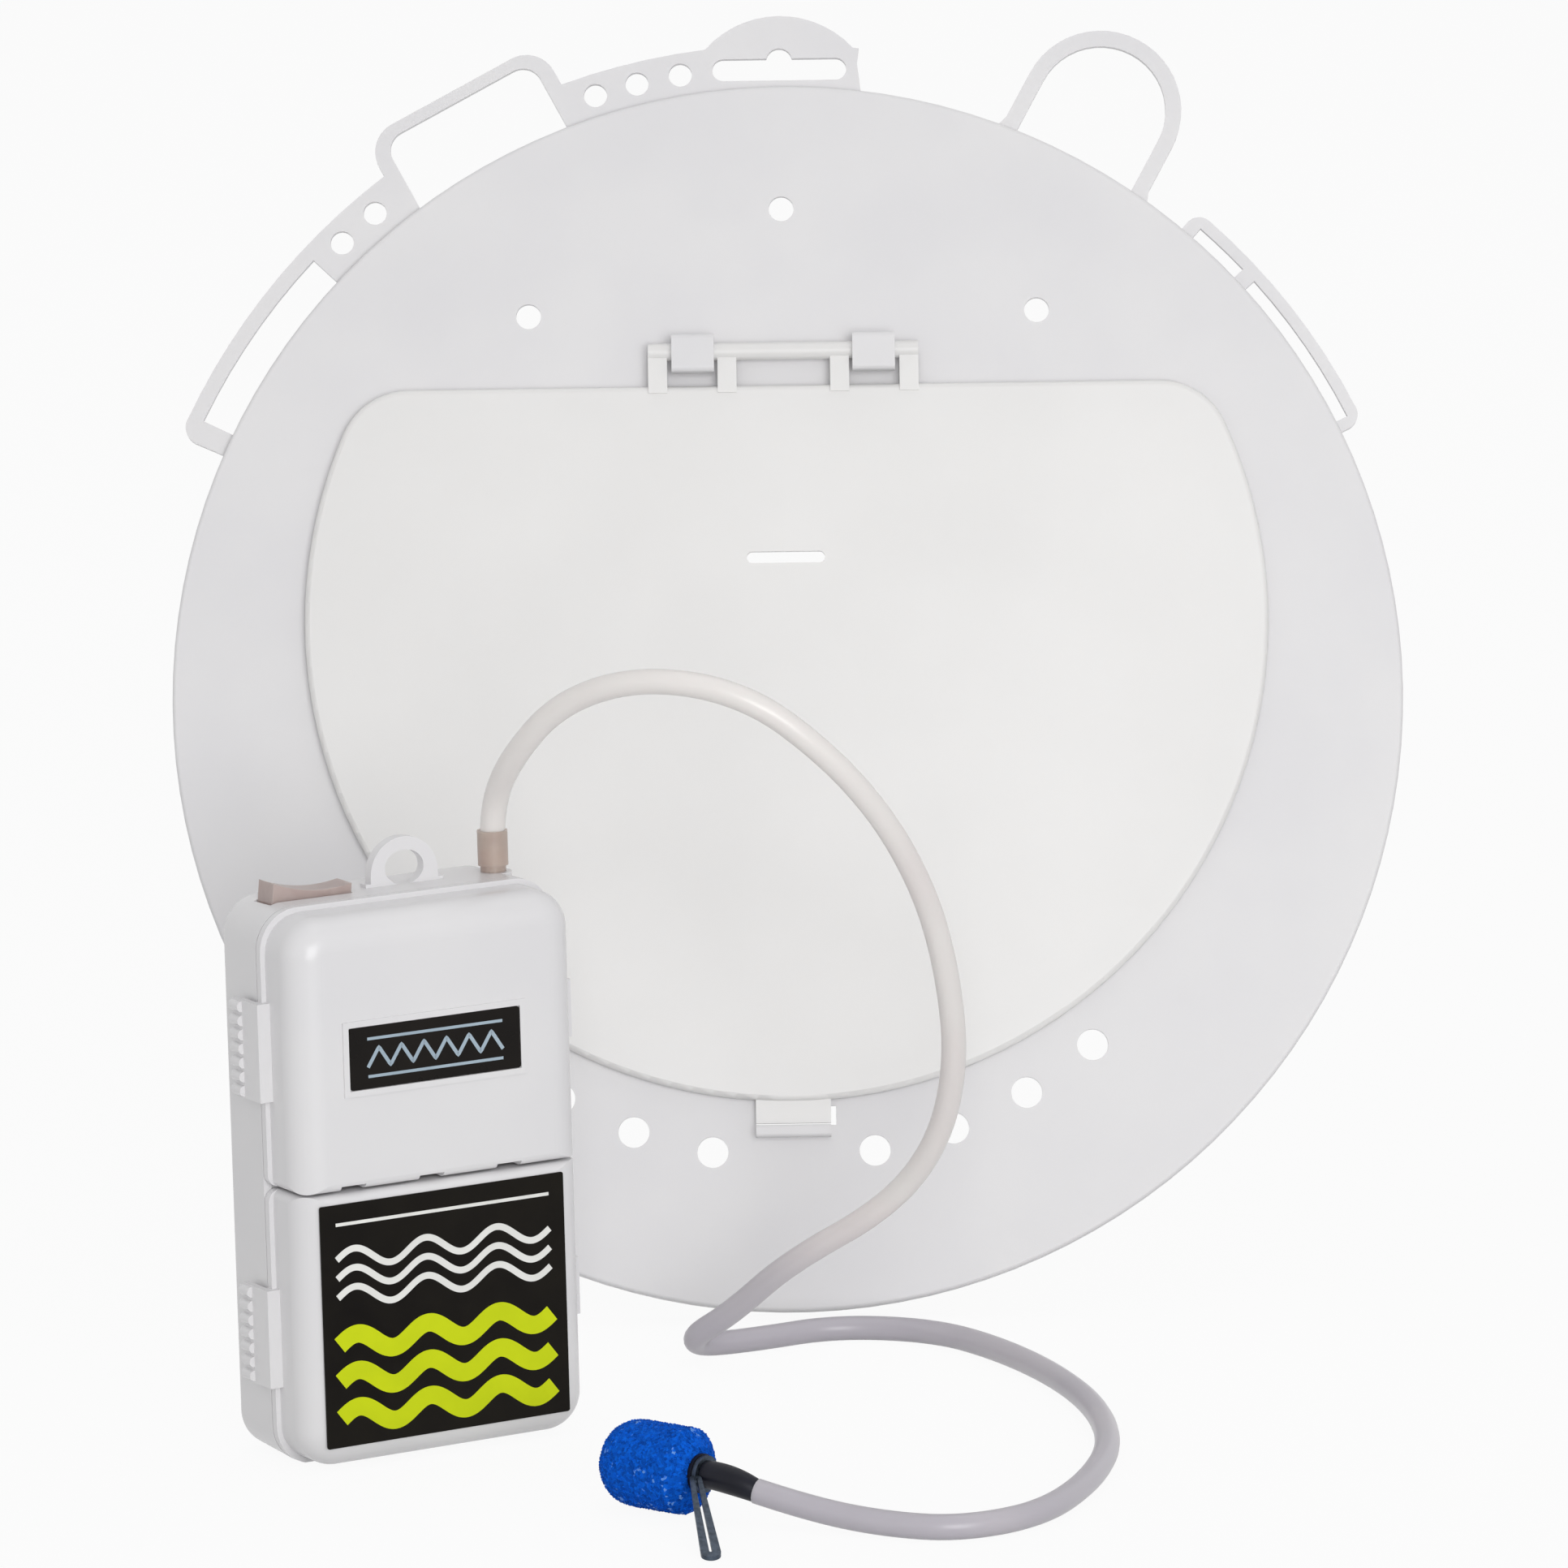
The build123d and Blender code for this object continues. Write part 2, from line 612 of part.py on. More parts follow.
def cover_barrel(z_mid):
    x = W + KNUCKLE_OUT
    zs = (z_mid - BARREL_H / 2, z_mid + BARREL_H / 2)
    out = rod(KNUCKLE_R, (x, KNUCKLE_Y, zs[0]), (x, KNUCKLE_Y, zs[1]))
    out += box((W + SNAP_GAP, x + KNUCKLE_R), (-SEAM_GAP - FLANGE_T, KNUCKLE_Y), zs)
    out += box((W - 1, W + 1), (-SEAM_GAP - FLANGE_T, -SEAM_GAP), zs)
    bore = rod(PIN_R + PIN_FIT, (x, KNUCKLE_Y, zs[0] - 1), (x, KNUCKLE_Y, zs[1] + 1))
    return out, bore


def motor_cover():
    z0 = SPLIT_Z + SPLIT_GAP / 2
    body = cover_shell(z0, H, z0)
    for k in (-1, 0, 1):
        x = W / 2 - 3 + k * VENT_PITCH
        vent_y = (-COVER_D - 1, -COVER_D + WALL + 3)
        body -= box((x - VENT_W / 2, x + VENT_W / 2), vent_y, (z0 - 1, z0 + VENT_H))
    frame = rect((BADGE_X - BADGE_W / 2 - BADGE_RIM, BADGE_X + BADGE_W / 2 + BADGE_RIM),
                 (BADGE_Z - BADGE_H / 2 - BADGE_RIM, BADGE_Z + BADGE_H / 2 + BADGE_RIM))
    body += extrude(front(-COVER_D + 0.5) * frame, 0.5 + BADGE_T)
    pocket_w, pocket_h = BADGE_W + 2 * PANEL_GAP, BADGE_H + 2 * PANEL_GAP
    body -= extrude(front(-COVER_D) * Pos(BADGE_X, BADGE_Z) * Rectangle(pocket_w, pocket_h), BADGE_T + 1)
    body += snap_tab(SNAP_Z[1])
    barrel, bore = cover_barrel(HINGE_Z[1])
    return body + barrel - bore


def battery_cover():
    z1 = SPLIT_Z - SPLIT_GAP / 2
    body = cover_shell(FOOT_LIFT, z1, z1) + snap_tab(SNAP_Z[0])
    barrel, bore = cover_barrel(HINGE_Z[0])
    return body + barrel - bore


def panel(x, z, w, h, t):
    return extrude(front(-COVER_D) * Pos(x, z) * RectangleRounded(w, h, 0.6), t)


def hinge_pin(z_mid):
    half = BARREL_H / 2 + END_GAP + KNUCKLE_H
    x = W + KNUCKLE_OUT
    return rod(PIN_R, (x, KNUCKLE_Y, z_mid - half), (x, KNUCKLE_Y, z_mid + half))


# ================================================================ switch
def rock_half():
    return ROCK_L / 2 + ROCK_GAP


def rock_depth():
    return ROCK_W / 2 + ROCK_GAP


def rocker_button():
    """Rocker with a dished top, on two trunnions."""
    half = ROCK_L / 2
    left, right = ROCK_X - half, ROCK_X + half
    profile = make_face([
        Line((left, ROCK_LOW), (right, ROCK_LOW)),
        Line((right, ROCK_LOW), (right, ROCK_TOP)),
        ThreePointArc((right, ROCK_TOP), (ROCK_X, ROCK_TOP - ROCK_DIP), (left, ROCK_TOP)),
        Line((left, ROCK_TOP), (left, ROCK_LOW)),
    ])
    body = extrude(front(ROCK_Y + ROCK_W / 2) * profile, ROCK_W)
    reach = rock_depth() + HOUSING_T - 0.2
    ends = [(ROCK_X, ROCK_Y + s * reach, ROCK_PIVOT) for s in (-1, 1)]
    body += rod(TRUNNION_R, *ends)
    return body.rotate(Axis((ROCK_X, ROCK_Y, ROCK_PIVOT), (0, 1, 0)), ROCK_TILT)


def switch_housing():
    hx, hy = rock_half(), rock_depth()
    top = H - WALL
    body = box((ROCK_X - hx - HOUSING_T, ROCK_X + hx + HOUSING_T),
               (ROCK_Y - hy - HOUSING_T, ROCK_Y + hy + HOUSING_T), (HOUSING_LOW, top))
    body -= box((ROCK_X - hx, ROCK_X + hx), (ROCK_Y - hy, ROCK_Y + hy), (ROCK_LOW - 3, top + 1))
    reach = hy + HOUSING_T + 1
    ends = [(ROCK_X, ROCK_Y + s * reach, ROCK_PIVOT) for s in (-1, 1)]
    body -= rod(TRUNNION_R + PIN_FIT, *ends)
    return body & case_loft(WALL, CASE_D - WALL)


def switch_blades():
    size = Box(BLADE_W, BLADE_T, BLADE_L)
    return [Pos(ROCK_X + s * BLADE_X, ROCK_Y, HOUSING_LOW - BLADE_L / 2) * size for s in (-1, 1)]


# ================================================================ outlet
def outlet_barb():
    top = H + COUPLER_H - SOCKET_H
    axis = (OUT_X, OUT_Y)
    body = rod(BARB_R, (*axis, BARB_LOW), (*axis, top))
    body += rod(BARB_FLANGE_R, (*axis, BOSS_LOW - BARB_FLANGE_T), (*axis, BOSS_LOW))
    return body - rod(BARB_BORE, (*axis, BARB_LOW - 1), (*axis, top + 1))


def hose_coupler():
    axis = (OUT_X, OUT_Y)
    socket = H + COUPLER_H - SOCKET_H
    body = rod(COUPLER_NECK_R, (*axis, H), (*axis, H + 1.6))
    body += rod(COUPLER_R, (*axis, H + 1.6), (*axis, H + COUPLER_H))
    body -= rod(BARB_R, (*axis, H - 1), (*axis, socket))
    return body - rod(HOSE_R, (*axis, socket), (*axis, H + COUPLER_H + 1))


# ================================================================ battery bay
def cell_x(side):
    return W / 2 + side * CELL_PITCH / 2


def bay_top():
    return SPLIT_Z - SHELF_T / 2


def bay_low():
    """Top of the lower contact plate."""
    return WALL + PLATE_LIFT + PLATE_T


def spring_h():
    return bay_top() - PLATE_T - bay_low() - CELL_L


def bay_step():
    """Step on the case's floor under the lower contact plate."""
    x = (cell_x(-1) - 8, cell_x(1) + 8)
    return box(x, (PLATE_FRONT, CELL_Y + 6), (WALL - 1, WALL + PLATE_LIFT))


def d_cell(side):
    """Round cell; the left one has its nub up, the right one has it down."""
    x = cell_x(side)
    low = bay_low() + (spring_h() if side < 0 else 0)
    high = low + CELL_L
    if side < 0:
        can, nub = (low, high - NUB_H), (high - NUB_H, high)
    else:
        can, nub = (low + NUB_H, high), (low, low + NUB_H)
    body = rod(CELL_R, (x, CELL_Y, can[0]), (x, CELL_Y, can[1]))
    body = fillet(body.edges().filter_by(GeomType.CIRCLE), 0.8)
    return body + rod(NUB_R, (x, CELL_Y, nub[0]), (x, CELL_Y, nub[1]))


def cone_spring(side):
    """Plain stand-in for a conical contact spring, its wide end on the contact plate."""
    x = cell_x(side)
    base = bay_low() if side < 0 else bay_top() - PLATE_T
    up = 1 if side < 0 else -1
    tip, wide = SPRING_R
    h = spring_h() * up

    def cone(extra):
        a = Plane(origin=(x, CELL_Y, base), z_dir=(0, 0, 1)) * Circle(wide + extra)
        b = Plane(origin=(x, CELL_Y, base + h), z_dir=(0, 0, 1)) * Circle(tip + extra)
        return loft([a, b])

    return cone(0) - cone(-SPRING_WALL)


def bridge_plate():
    x = (cell_x(-1) - 8, cell_x(1) + 8)
    return box(x, (PLATE_FRONT, CELL_Y + 6), (bay_low() - PLATE_T, bay_low()))


def top_contact(side):
    x = cell_x(side)
    z = (bay_top() - PLATE_T, bay_top())
    pad = rod(7, (x, CELL_Y, z[0]), (x, CELL_Y, z[1])) & box((x - 8, x + 8), (PLATE_FRONT, CELL_Y + 8), z)
    return pad + box((x - 2, x + 2), (CELL_Y + 5, CASE_D - WALL - 0.5), z)


# ================================================================ motor, crank and diaphragm pump
def motor_saddle():
    r = MOTOR_R + SHAFT_FIT
    body = box(SADDLE_X, (strap_seat(), CASE_D - WALL + 1), strap_z())
    body -= rod(r, (SADDLE_X[0] - 1, MECH_Y, MOTOR_Z), (SADDLE_X[1] + 1, MECH_Y, MOTOR_Z))
    for x, z in strap_screws():
        body -= rod(SCREW_R, (x, MECH_Y, z), (x, strap_seat() + SCREW_L, z))
    return body


def strap_seat():
    return MECH_Y + 3


def strap_z():
    return (MOTOR_Z - MOTOR_R - STRAP_FOOT, MOTOR_Z + MOTOR_R + STRAP_FOOT)


def strap_screws():
    x = (STRAP_X[0] + STRAP_X[1]) / 2
    return [(x, MOTOR_Z + s * (MOTOR_R + SCREW_OUT)) for s in (-1, 1)]


def motor_can():
    a, b = MOTOR_X
    body = rod(MOTOR_R, (a + ENDCAP_T, MECH_Y, MOTOR_Z), (b, MECH_Y, MOTOR_Z))
    body -= rod(MOTOR_R - MOTOR_WALL, (a + ENDCAP_T, MECH_Y, MOTOR_Z), (b - MOTOR_WALL, MECH_Y, MOTOR_Z))
    return body - rod(SHAFT_R + SHAFT_FIT, (a, MECH_Y, MOTOR_Z), (b + 1, MECH_Y, MOTOR_Z))


def motor_endcap():
    a = MOTOR_X[0]
    body = rod(MOTOR_R, (a, MECH_Y, MOTOR_Z), (a + ENDCAP_T, MECH_Y, MOTOR_Z))
    body -= rod(SHAFT_R + SHAFT_FIT, (a - 1, MECH_Y, MOTOR_Z), (a + ENDCAP_T + 1, MECH_Y, MOTOR_Z))
    for s in (-1, 1):
        z = MOTOR_Z + s * 6
        body += box((a - 2.5, a), (MECH_Y - 0.4, MECH_Y + 0.4), (z - 1.2, z + 1.2))
    return body


def motor_rotor():
    a, b = MOTOR_X
    body = rod(SHAFT_R, (a - 1, MECH_Y, MOTOR_Z), (ECC_X[1], MECH_Y, MOTOR_Z))
    core = rod(ROTOR_R, (a + 7, MECH_Y, MOTOR_Z), (b - 5, MECH_Y, MOTOR_Z))
    commutator = rod(3.0, (a + 3, MECH_Y, MOTOR_Z), (a + 7, MECH_Y, MOTOR_Z))
    return body + core + commutator


def eccentric():
    """Crank disc with its pin; it is pressed on the motor's shaft."""
    x0, x1 = ECC_X
    y = MECH_Y + THROW
    body = rod(ECC_R, (x0, MECH_Y, MOTOR_Z), (x1, MECH_Y, MOTOR_Z))
    body += rod(CRANK_R, (x1 - 1, y, MOTOR_Z), (x1 + CRANK_L, y, MOTOR_Z))
    return body - rod(SHAFT_R, (x0 - 1, MECH_Y, MOTOR_Z), (x1, MECH_Y, MOTOR_Z))


def motor_strap():
    r = MOTOR_R + SHAFT_FIT
    seat = strap_seat()
    x0, x1 = STRAP_X
    body = rod(r + STRAP_T, (x0, MECH_Y, MOTOR_Z), (x1, MECH_Y, MOTOR_Z))
    body &= box(STRAP_X, (MECH_Y - 2 * r, seat), strap_z())
    body += box(STRAP_X, (seat - STRAP_T, seat), strap_z())
    body -= rod(r, (x0 - 1, MECH_Y, MOTOR_Z), (x1 + 1, MECH_Y, MOTOR_Z))
    for x, z in strap_screws():
        body -= rod(SCREW_R + 0.1, (x, MECH_Y, z), (x, seat + 1, z))
    return body


def strap_screw_set():
    seat = strap_seat() - STRAP_T
    out = []
    for x, z in strap_screws():
        head = rod(SCREW_HEAD_R, (x, seat - 1.4, z), (x, seat, z))
        head -= box((x - 3, x + 3), (seat - 2, seat - 0.8), (z - 0.3, z + 0.3))
        out.append(head + rod(SCREW_R - 0.02, (x, seat, z), (x, seat + SCREW_L - 0.3, z)))
    return out


def arm_low():
    """Underside of the arm's beam."""
    return ARM_TOP - ARM_T


def window_half():
    """Half height of the crank's window: throw, the arm's own swing and a clearance."""
    swing = (PIVOT_X - ARM_X) * tan(radians(ARM_SWING))
    return THROW + CRANK_R + swing + WINDOW_CLEAR


def pump_arm():
    """Lever from the crank to its pivot; the diaphragm hangs under its middle."""
    y = (MECH_Y - ARM_W / 2, MECH_Y + ARM_W / 2)
    half = window_half()
    wide = THROW + CRANK_R + WINDOW_CLEAR
    plate_y = (MECH_Y - wide - 2, MECH_Y + wide + 2)
    body = box((ARM_X, PIVOT_X), y, (arm_low(), ARM_TOP))
    body += rod(ARM_T / 2 + 0.4, (PIVOT_X, y[0], arm_axis_z()), (PIVOT_X, y[1], arm_axis_z()))
    body += box((ARM_X, ARM_X + ARM_PLATE), plate_y, (MOTOR_Z - half - 2, ARM_TOP))
    body -= box((ARM_X - 1, ARM_X + ARM_PLATE + 1), (MECH_Y - wide, MECH_Y + wide),
                (MOTOR_Z - half, MOTOR_Z + half))
    ends = [(PIVOT_X, y[0] - 1, arm_axis_z()), (PIVOT_X, y[1] + 1, arm_axis_z())]
    return body - rod(PIVOT_R + PIN_FIT, *ends)


def arm_axis_z():
    return ARM_TOP - ARM_T / 2


def pivot_ears():
    half = ARM_W / 2 + EAR_GAP
    return [(MECH_Y - half - EAR_W, MECH_Y - half), (MECH_Y + half, MECH_Y + half + EAR_W)]


def pump_head():
    """Valve block on the case's back wall, with the chamber rim and the arm's pivot ears."""
    body = box(HEAD_X, HEAD_Y, HEAD_Z)
    body += box(HEAD_X, (HEAD_Y[1] - 2, CASE_D - WALL), HEAD_Z)
    seat, rim = (DIAPH_X, MECH_Y, HEAD_Z[1]), (DIAPH_X, MECH_Y, HEAD_Z[1] + CHAMBER_H)
    body += rod(CHAMBER_R, seat, rim) - rod(CHAMBER_R - CHAMBER_WALL, seat, rim)
    for ys in pivot_ears():
        ear = box((PIVOT_X - 2.6, PIVOT_X + 2.6), ys, (HEAD_Z[1] - 1, arm_axis_z() + 2.6))
        body += ear - rod(PIVOT_R, (PIVOT_X, ys[0] - 1, arm_axis_z()), (PIVOT_X, ys[1] + 1, arm_axis_z()))
    nipple = rod(BARB_R, (OUT_X, TUBE_Y, HEAD_Z[1] - 4), (OUT_X, TUBE_Y, HEAD_Z[1] + NIPPLE_H))
    body += nipple
    return body - rod(BARB_BORE, (OUT_X, TUBE_Y, HEAD_Z[1] - 6), (OUT_X, TUBE_Y, HEAD_Z[1] + NIPPLE_H + 1))


def valve_flap():
    z = HEAD_Z[1]
    return rod(CHAMBER_R - CHAMBER_WALL - 0.6, (DIAPH_X, MECH_Y, z), (DIAPH_X, MECH_Y, z + 1.0))


def diaphragm():
    """Rubber cup over the chamber, with a button that reaches the arm."""
    z = HEAD_Z[1] + CHAMBER_H
    top = arm_low()
    neck = (top - z) * 0.55
    body = rod(DIAPH_R, (DIAPH_X, MECH_Y, z), (DIAPH_X, MECH_Y, z + 1.2))
    foot = Pos(DIAPH_X, MECH_Y, z + 1.2) * Circle(DIAPH_R - 1)
    crown = Pos(DIAPH_X, MECH_Y, z + neck) * Circle(DIAPH_R / 2)
    cup = loft([foot, crown])
    return body + cup + rod(3.0, (DIAPH_X, MECH_Y, z + neck), (DIAPH_X, MECH_Y, top))


def pivot_pin():
    lows, highs = pivot_ears()
    return rod(PIVOT_R, (PIVOT_X, lows[0], arm_axis_z()), (PIVOT_X, highs[1], arm_axis_z()))


# ================================================================ tubes and wires along paths
def runs(points):
    return [(Vector(*b) - Vector(*a)).length for a, b in zip(points, points[1:])]


def path_radii(points, share=0.45):
    """Arc at each corner: as large as its two runs allow."""
    lengths = runs(points)
    out = []
    for k in range(1, len(points) - 1):
        a = Vector(*points[k]) - Vector(*points[k - 1])
        b = Vector(*points[k + 1]) - Vector(*points[k])
        turn = radians(a.get_angle(b))
        out.append(share * min(lengths[k - 1], lengths[k]) / tan(turn / 2))
    return out


def tube(points, r_out, r_in=None):
    """Tube along straight runs joined by tangent arcs. Returns it with its radii and length."""
    radii = path_radii(points)
    path = FilletPolyline(*points, radius=radii)
    start = Plane(origin=points[0], z_dir=Vector(*points[1]) - Vector(*points[0]))
    body = sweep(start * Circle(r_out), path)
    if r_in:
        body -= sweep(start * Circle(r_in), path)
    return body, radii, path.length


def inner_tube_points():
    z_low = HEAD_Z[1]
    return [
        (OUT_X, TUBE_Y, z_low),
        (OUT_X, TUBE_Y, z_low + 22),
        (OUT_X, OUT_Y, BARB_LOW - 8),
        (OUT_X, OUT_Y, BARB_LOW + 5.5),
    ]


def wire_routes():
    """Three leads inside the case: cell to switch, switch to motor, cell to motor."""
    back = CASE_D - WALL - 1.2
    blade_y = ROCK_Y + 0.4 + WIRE_R
    shelf = SPLIT_Z + SHELF_T / 2 + WIRE_R + 0.1
    tag_x = MOTOR_X[0] - 1.4
    tag_y = MECH_Y + 0.4 + WIRE_R
    low = HOUSING_LOW - 1
    red = [
        (SADDLE_X[0] - 2.5, back, shelf),
        (SADDLE_X[0] - 4.5, back - 0.6, shelf + 17),
        (SADDLE_X[0] - 4.2, back - 1, shelf + 33),
        (ROCK_X - 6, blade_y, low),
    ]
    link = [
        (ROCK_X + 6, blade_y, low),
        (ROCK_X + 4, blade_y + 3, low - 6.5),
        (tag_x + 2, blade_y, low - 7.5),
        (tag_x, tag_y, MOTOR_Z + 6),
    ]
    black = [
        (cell_x(1) - 10, back, shelf),
        (cell_x(-1) + 2, back - 0.6, shelf + 0.1),
        (SADDLE_X[0] - 4.5, back - 3, shelf + 0.1),
        (tag_x, MECH_Y + 9, shelf + 8),
        (tag_x, tag_y, MOTOR_Z - 6),
    ]
    return {"wire_red": red, "wire_link": link, "wire_black": black}


# ================================================================ hose and air stone, on the floor
def stone_dir():
    return Vector(cos(radians(STONE_AZIMUTH)), sin(radians(STONE_AZIMUTH)), 0)


def along_stone(distance):
    """Point on the stone's axis, measured from its domed tip towards the hose."""
    return Vector(STONE_TIP[0], STONE_TIP[1], STONE_R) + stone_dir() * distance


def stone_plane(distance):
    return Plane(origin=along_stone(distance), z_dir=stone_dir())


def air_stone():
    """Sintered stone: domed tip, drum and a chamfered shoulder at the hose end."""
    neck = STONE_L - STONE_CHAMFER
    core = STONE_R * 0.4
    profile = make_face([
        Line((0, 0), (0, core)),
        ThreePointArc((0, core), (STONE_DOME * 0.32, STONE_R * 0.78), (STONE_DOME, STONE_R)),
        Line((STONE_DOME, STONE_R), (neck, STONE_R)),
        Line((neck, STONE_R), (STONE_L, STONE_END_R)),
        Line((STONE_L, STONE_END_R), (STONE_L, STEM_R)),
        Line((STONE_L, STEM_R), (STONE_L - STEM_DEPTH, STEM_R)),
        Line((STONE_L - STEM_DEPTH, STEM_R), (STONE_L - STEM_DEPTH, 0)),
        Line((STONE_L - STEM_DEPTH, 0), (0, 0)),
    ])
    across = Vector(0, 0, 1).cross(stone_dir())
    plane = Plane(origin=along_stone(0), x_dir=stone_dir(), z_dir=across)
    return revolve(plane * profile, axis=Axis(along_stone(0), stone_dir()))


def stem_washer():
    return extrude(stone_plane(STONE_L) * (Circle(WASHER_R) - Circle(STEM_R)), WASHER_T)


def clip_at():
    return STONE_L + WASHER_T + CLIP_GAP


def sleeve_at():
    return clip_at() + CLIP_T + CLIP_GAP


def stone_stem():
    return rod(STEM_R, along_stone(STONE_L - STEM_DEPTH), along_stone(sleeve_at() + STEM_END))


def stone_clip():
    """Flat strip: an eye round the stem and a long slotted leg that slopes down to the floor."""
    ring = Circle(CLIP_RING_R) - Circle(STEM_R + CLIP_FIT)
    eye = extrude(stone_plane(clip_at()) * ring, CLIP_T)
    sideways = stone_dir().cross(Vector(0, 0, 1))
    root = along_stone(clip_at() + CLIP_T / 2) + sideways * (CLIP_RING_R - 0.6)
    tip = Vector(CLIP_TIP[0], CLIP_TIP[1], CLIP_T * 0.55)
    lead = tip - root
    across = lead.cross(Vector(0, 0, 1)).normalized()
    flat = Plane(origin=root, x_dir=lead, z_dir=across.cross(lead))
    near, far = CLIP_W / 2, lead.length - CLIP_TIP_W / 2
    ends = Pos(near, 0) * Circle(CLIP_W / 2) + Pos(far, 0) * Circle(CLIP_TIP_W / 2)
    leg = make_hull(ends.edges())
    leg -= Pos((near + far) / 2, 0) * SlotOverall(far - near, CLIP_SLOT)
    return eye + extrude(flat * Pos(0, 0, -CLIP_T / 2) * leg, CLIP_T)


def stem_sleeve():
    """Black rubber sleeve that joins the stem to the hose and droops with it."""
    start = along_stone(sleeve_at())
    end = Vector(*HOSE_END)
    chord = end - start
    middle = (start + end + 2 * (start + stone_dir() * (chord.length / 2))) * 0.25
    hose_dir = (Vector(*hose_points()[-2]) - end).normalized()
    stations = [(start, stone_dir()), (middle, chord), (end, hose_dir)]
    outer = loft([Plane(origin=o, z_dir=d) * Circle(r) for (o, d), r in zip(stations, SLEEVE_R)])
    outer -= rod(STEM_R, along_stone(sleeve_at() - 1), along_stone(sleeve_at() + STEM_END))
    return outer + rod(HOSE_BORE - SPIGOT_FIT, end - hose_dir, end + hose_dir * SPIGOT_L)


def hose_points():
    """Corners of the hose's route, from the coupler's socket to the stone's sleeve."""
    start = pump_place() * Vector(OUT_X, OUT_Y, H + COUPLER_H - SOCKET_H)
    low = HOSE_FLOOR
    return [
        (start.X, start.Y, start.Z),
        (start.X, start.Y, start.Z + 10.0),
        (-65.5, -106.0, 164.5),
        (-53.0, -118.5, 179.5),
        (-33.0, -130.0, 186.5),
        (-9.5, -136.0, 182.5),
        (9.0, -134.5, 167.5),
        (22.5, -124.5, 149.5),
        (32.0, -112.0, 128.0),
        (36.5, -102.0, 106.5),
        (38.0, -91.0, 84.0),
        (33.5, -79.0, 62.0),
        (21.0, -67.5, 44.0),
        (-3.5, -57.0, 28.5),
        (-17.5, -46.5, 14.0),
        (-27.5, -42.5, 7.2),
        (-26.0, -35.0, low),
        (-12.0, -30.0, low),
        (8.0, -18.5, low),
        (32.0, -25.5, low),
        (47.0, -45.5, low),
        (60.5, -75.0, low),
        (69.5, -109.5, low),
        (71.5, -146.5, low),
        (65.0, -181.0, low),
        (53.0, -209.5, low),
        (34.5, -221.0, low),
        (18.0, -215.5, low),
        (1.0, -205.5, 4.4),
        HOSE_END,
    ]


# ================================================================ placing
def lid_place():
    a = radians(LEAN)
    centre = (0, RIM_R * sin(a), RIM_R * cos(a) + SKIRT_H * sin(a))
    face = Plane(origin=centre, x_dir=(1, 0, 0), z_dir=(0, -cos(a), sin(a)))
    return face.location * Rot(0, 0, LID_SPIN)


class Placer:
    """Moves points and shapes by one location."""

    def __init__(self, location):
        self.location = location

    def __mul__(self, other):
        if isinstance(other, Vector):
            return (self.location * Pos(*other)).position
        return self.location * other


def pump_place():
    return Placer(Pos(*PUMP_AT, 0) * Rot(0, 0, PUMP_YAW))


def build():
    lid = Placer(lid_place())
    pump = pump_place()
    pieces = {
        "lid_shell": lid * lid_shell(),
        "trap_door": lid * trap_door(),
        "pump_case": pump * pump_case(),
        "motor_cover": pump * motor_cover(),
        "battery_cover": pump * battery_cover(),
        "badge_panel": pump * panel(BADGE_X, BADGE_Z, BADGE_W, BADGE_H, BADGE_T),
        "label_panel": pump * panel(LABEL_X, LABEL_Z, LABEL_W, LABEL_H, LABEL_T),
        "motor_cover_pin": pump * hinge_pin(HINGE_Z[1]),
        "battery_cover_pin": pump * hinge_pin(HINGE_Z[0]),
        "rocker_button": pump * rocker_button(),
        "switch_housing": pump * switch_housing(),
        "switch_blades": [pump * s for s in switch_blades()],
        "outlet_barb": pump * outlet_barb(),
        "hose_coupler": pump * hose_coupler(),
        "cell_left": pump * d_cell(-1),
        "cell_right": pump * d_cell(1),
        "spring_low": pump * cone_spring(-1),
        "spring_high": pump * cone_spring(1),
        "bridge_plate": pump * bridge_plate(),
        "contact_positive": pump * top_contact(-1),
        "contact_negative": pump * top_contact(1),
        "motor_can": pump * motor_can(),
        "motor_endcap": pump * motor_endcap(),
        "motor_rotor": pump * motor_rotor(),
        "eccentric": pump * eccentric(),
        "motor_strap": pump * motor_strap(),
        "strap_screws": [pump * s for s in strap_screw_set()],
        "pump_arm": pump * pump_arm(),
        "arm_pivot_pin": pump * pivot_pin(),
        "pump_head": pump * pump_head(),
        "valve_flap": pump * valve_flap(),
        "diaphragm": pump * diaphragm(),
        "air_stone": air_stone(),
        "stone_stem": stone_stem(),
        "stem_washer": stem_washer(),
        "stone_clip": stone_clip(),
        "stem_sleeve": stem_sleeve(),
    }
    inner, radii, length = tube(inner_tube_points(), TUBE_R, BARB_R)
    print("inner_tube radii", [round(r, 1) for r in radii], "length", round(length, 1))
    pieces["inner_tube"] = pump * inner
    for name, points in wire_routes().items():
        wire, radii, length = tube(points, WIRE_R)
        print(name, "radii", [round(r, 1) for r in radii], "length", round(length, 1))
        pieces[name] = pump * wire
    hose, radii, length = tube(hose_points(), HOSE_R, HOSE_BORE)
    area = pi * (HOSE_R ** 2 - HOSE_BORE ** 2)
    print("air_hose radii", [round(r, 1) for r in radii])
    print("air_hose runs", [round(r, 1) for r in runs(hose_points())])
    print("air_hose length", round(length, 1), "volume", round(hose.volume))
    print("air_hose section x length", round(area * length))
    pieces["air_hose"] = hose
    return pieces


CORD = ("air_hose", "stem_sleeve", "stone_stem", "stem_washer", "stone_clip", "air_stone")


def solids(shape):
    group = shape if isinstance(shape, list) else [shape]
    return [s for g in group for s in g.solids()]


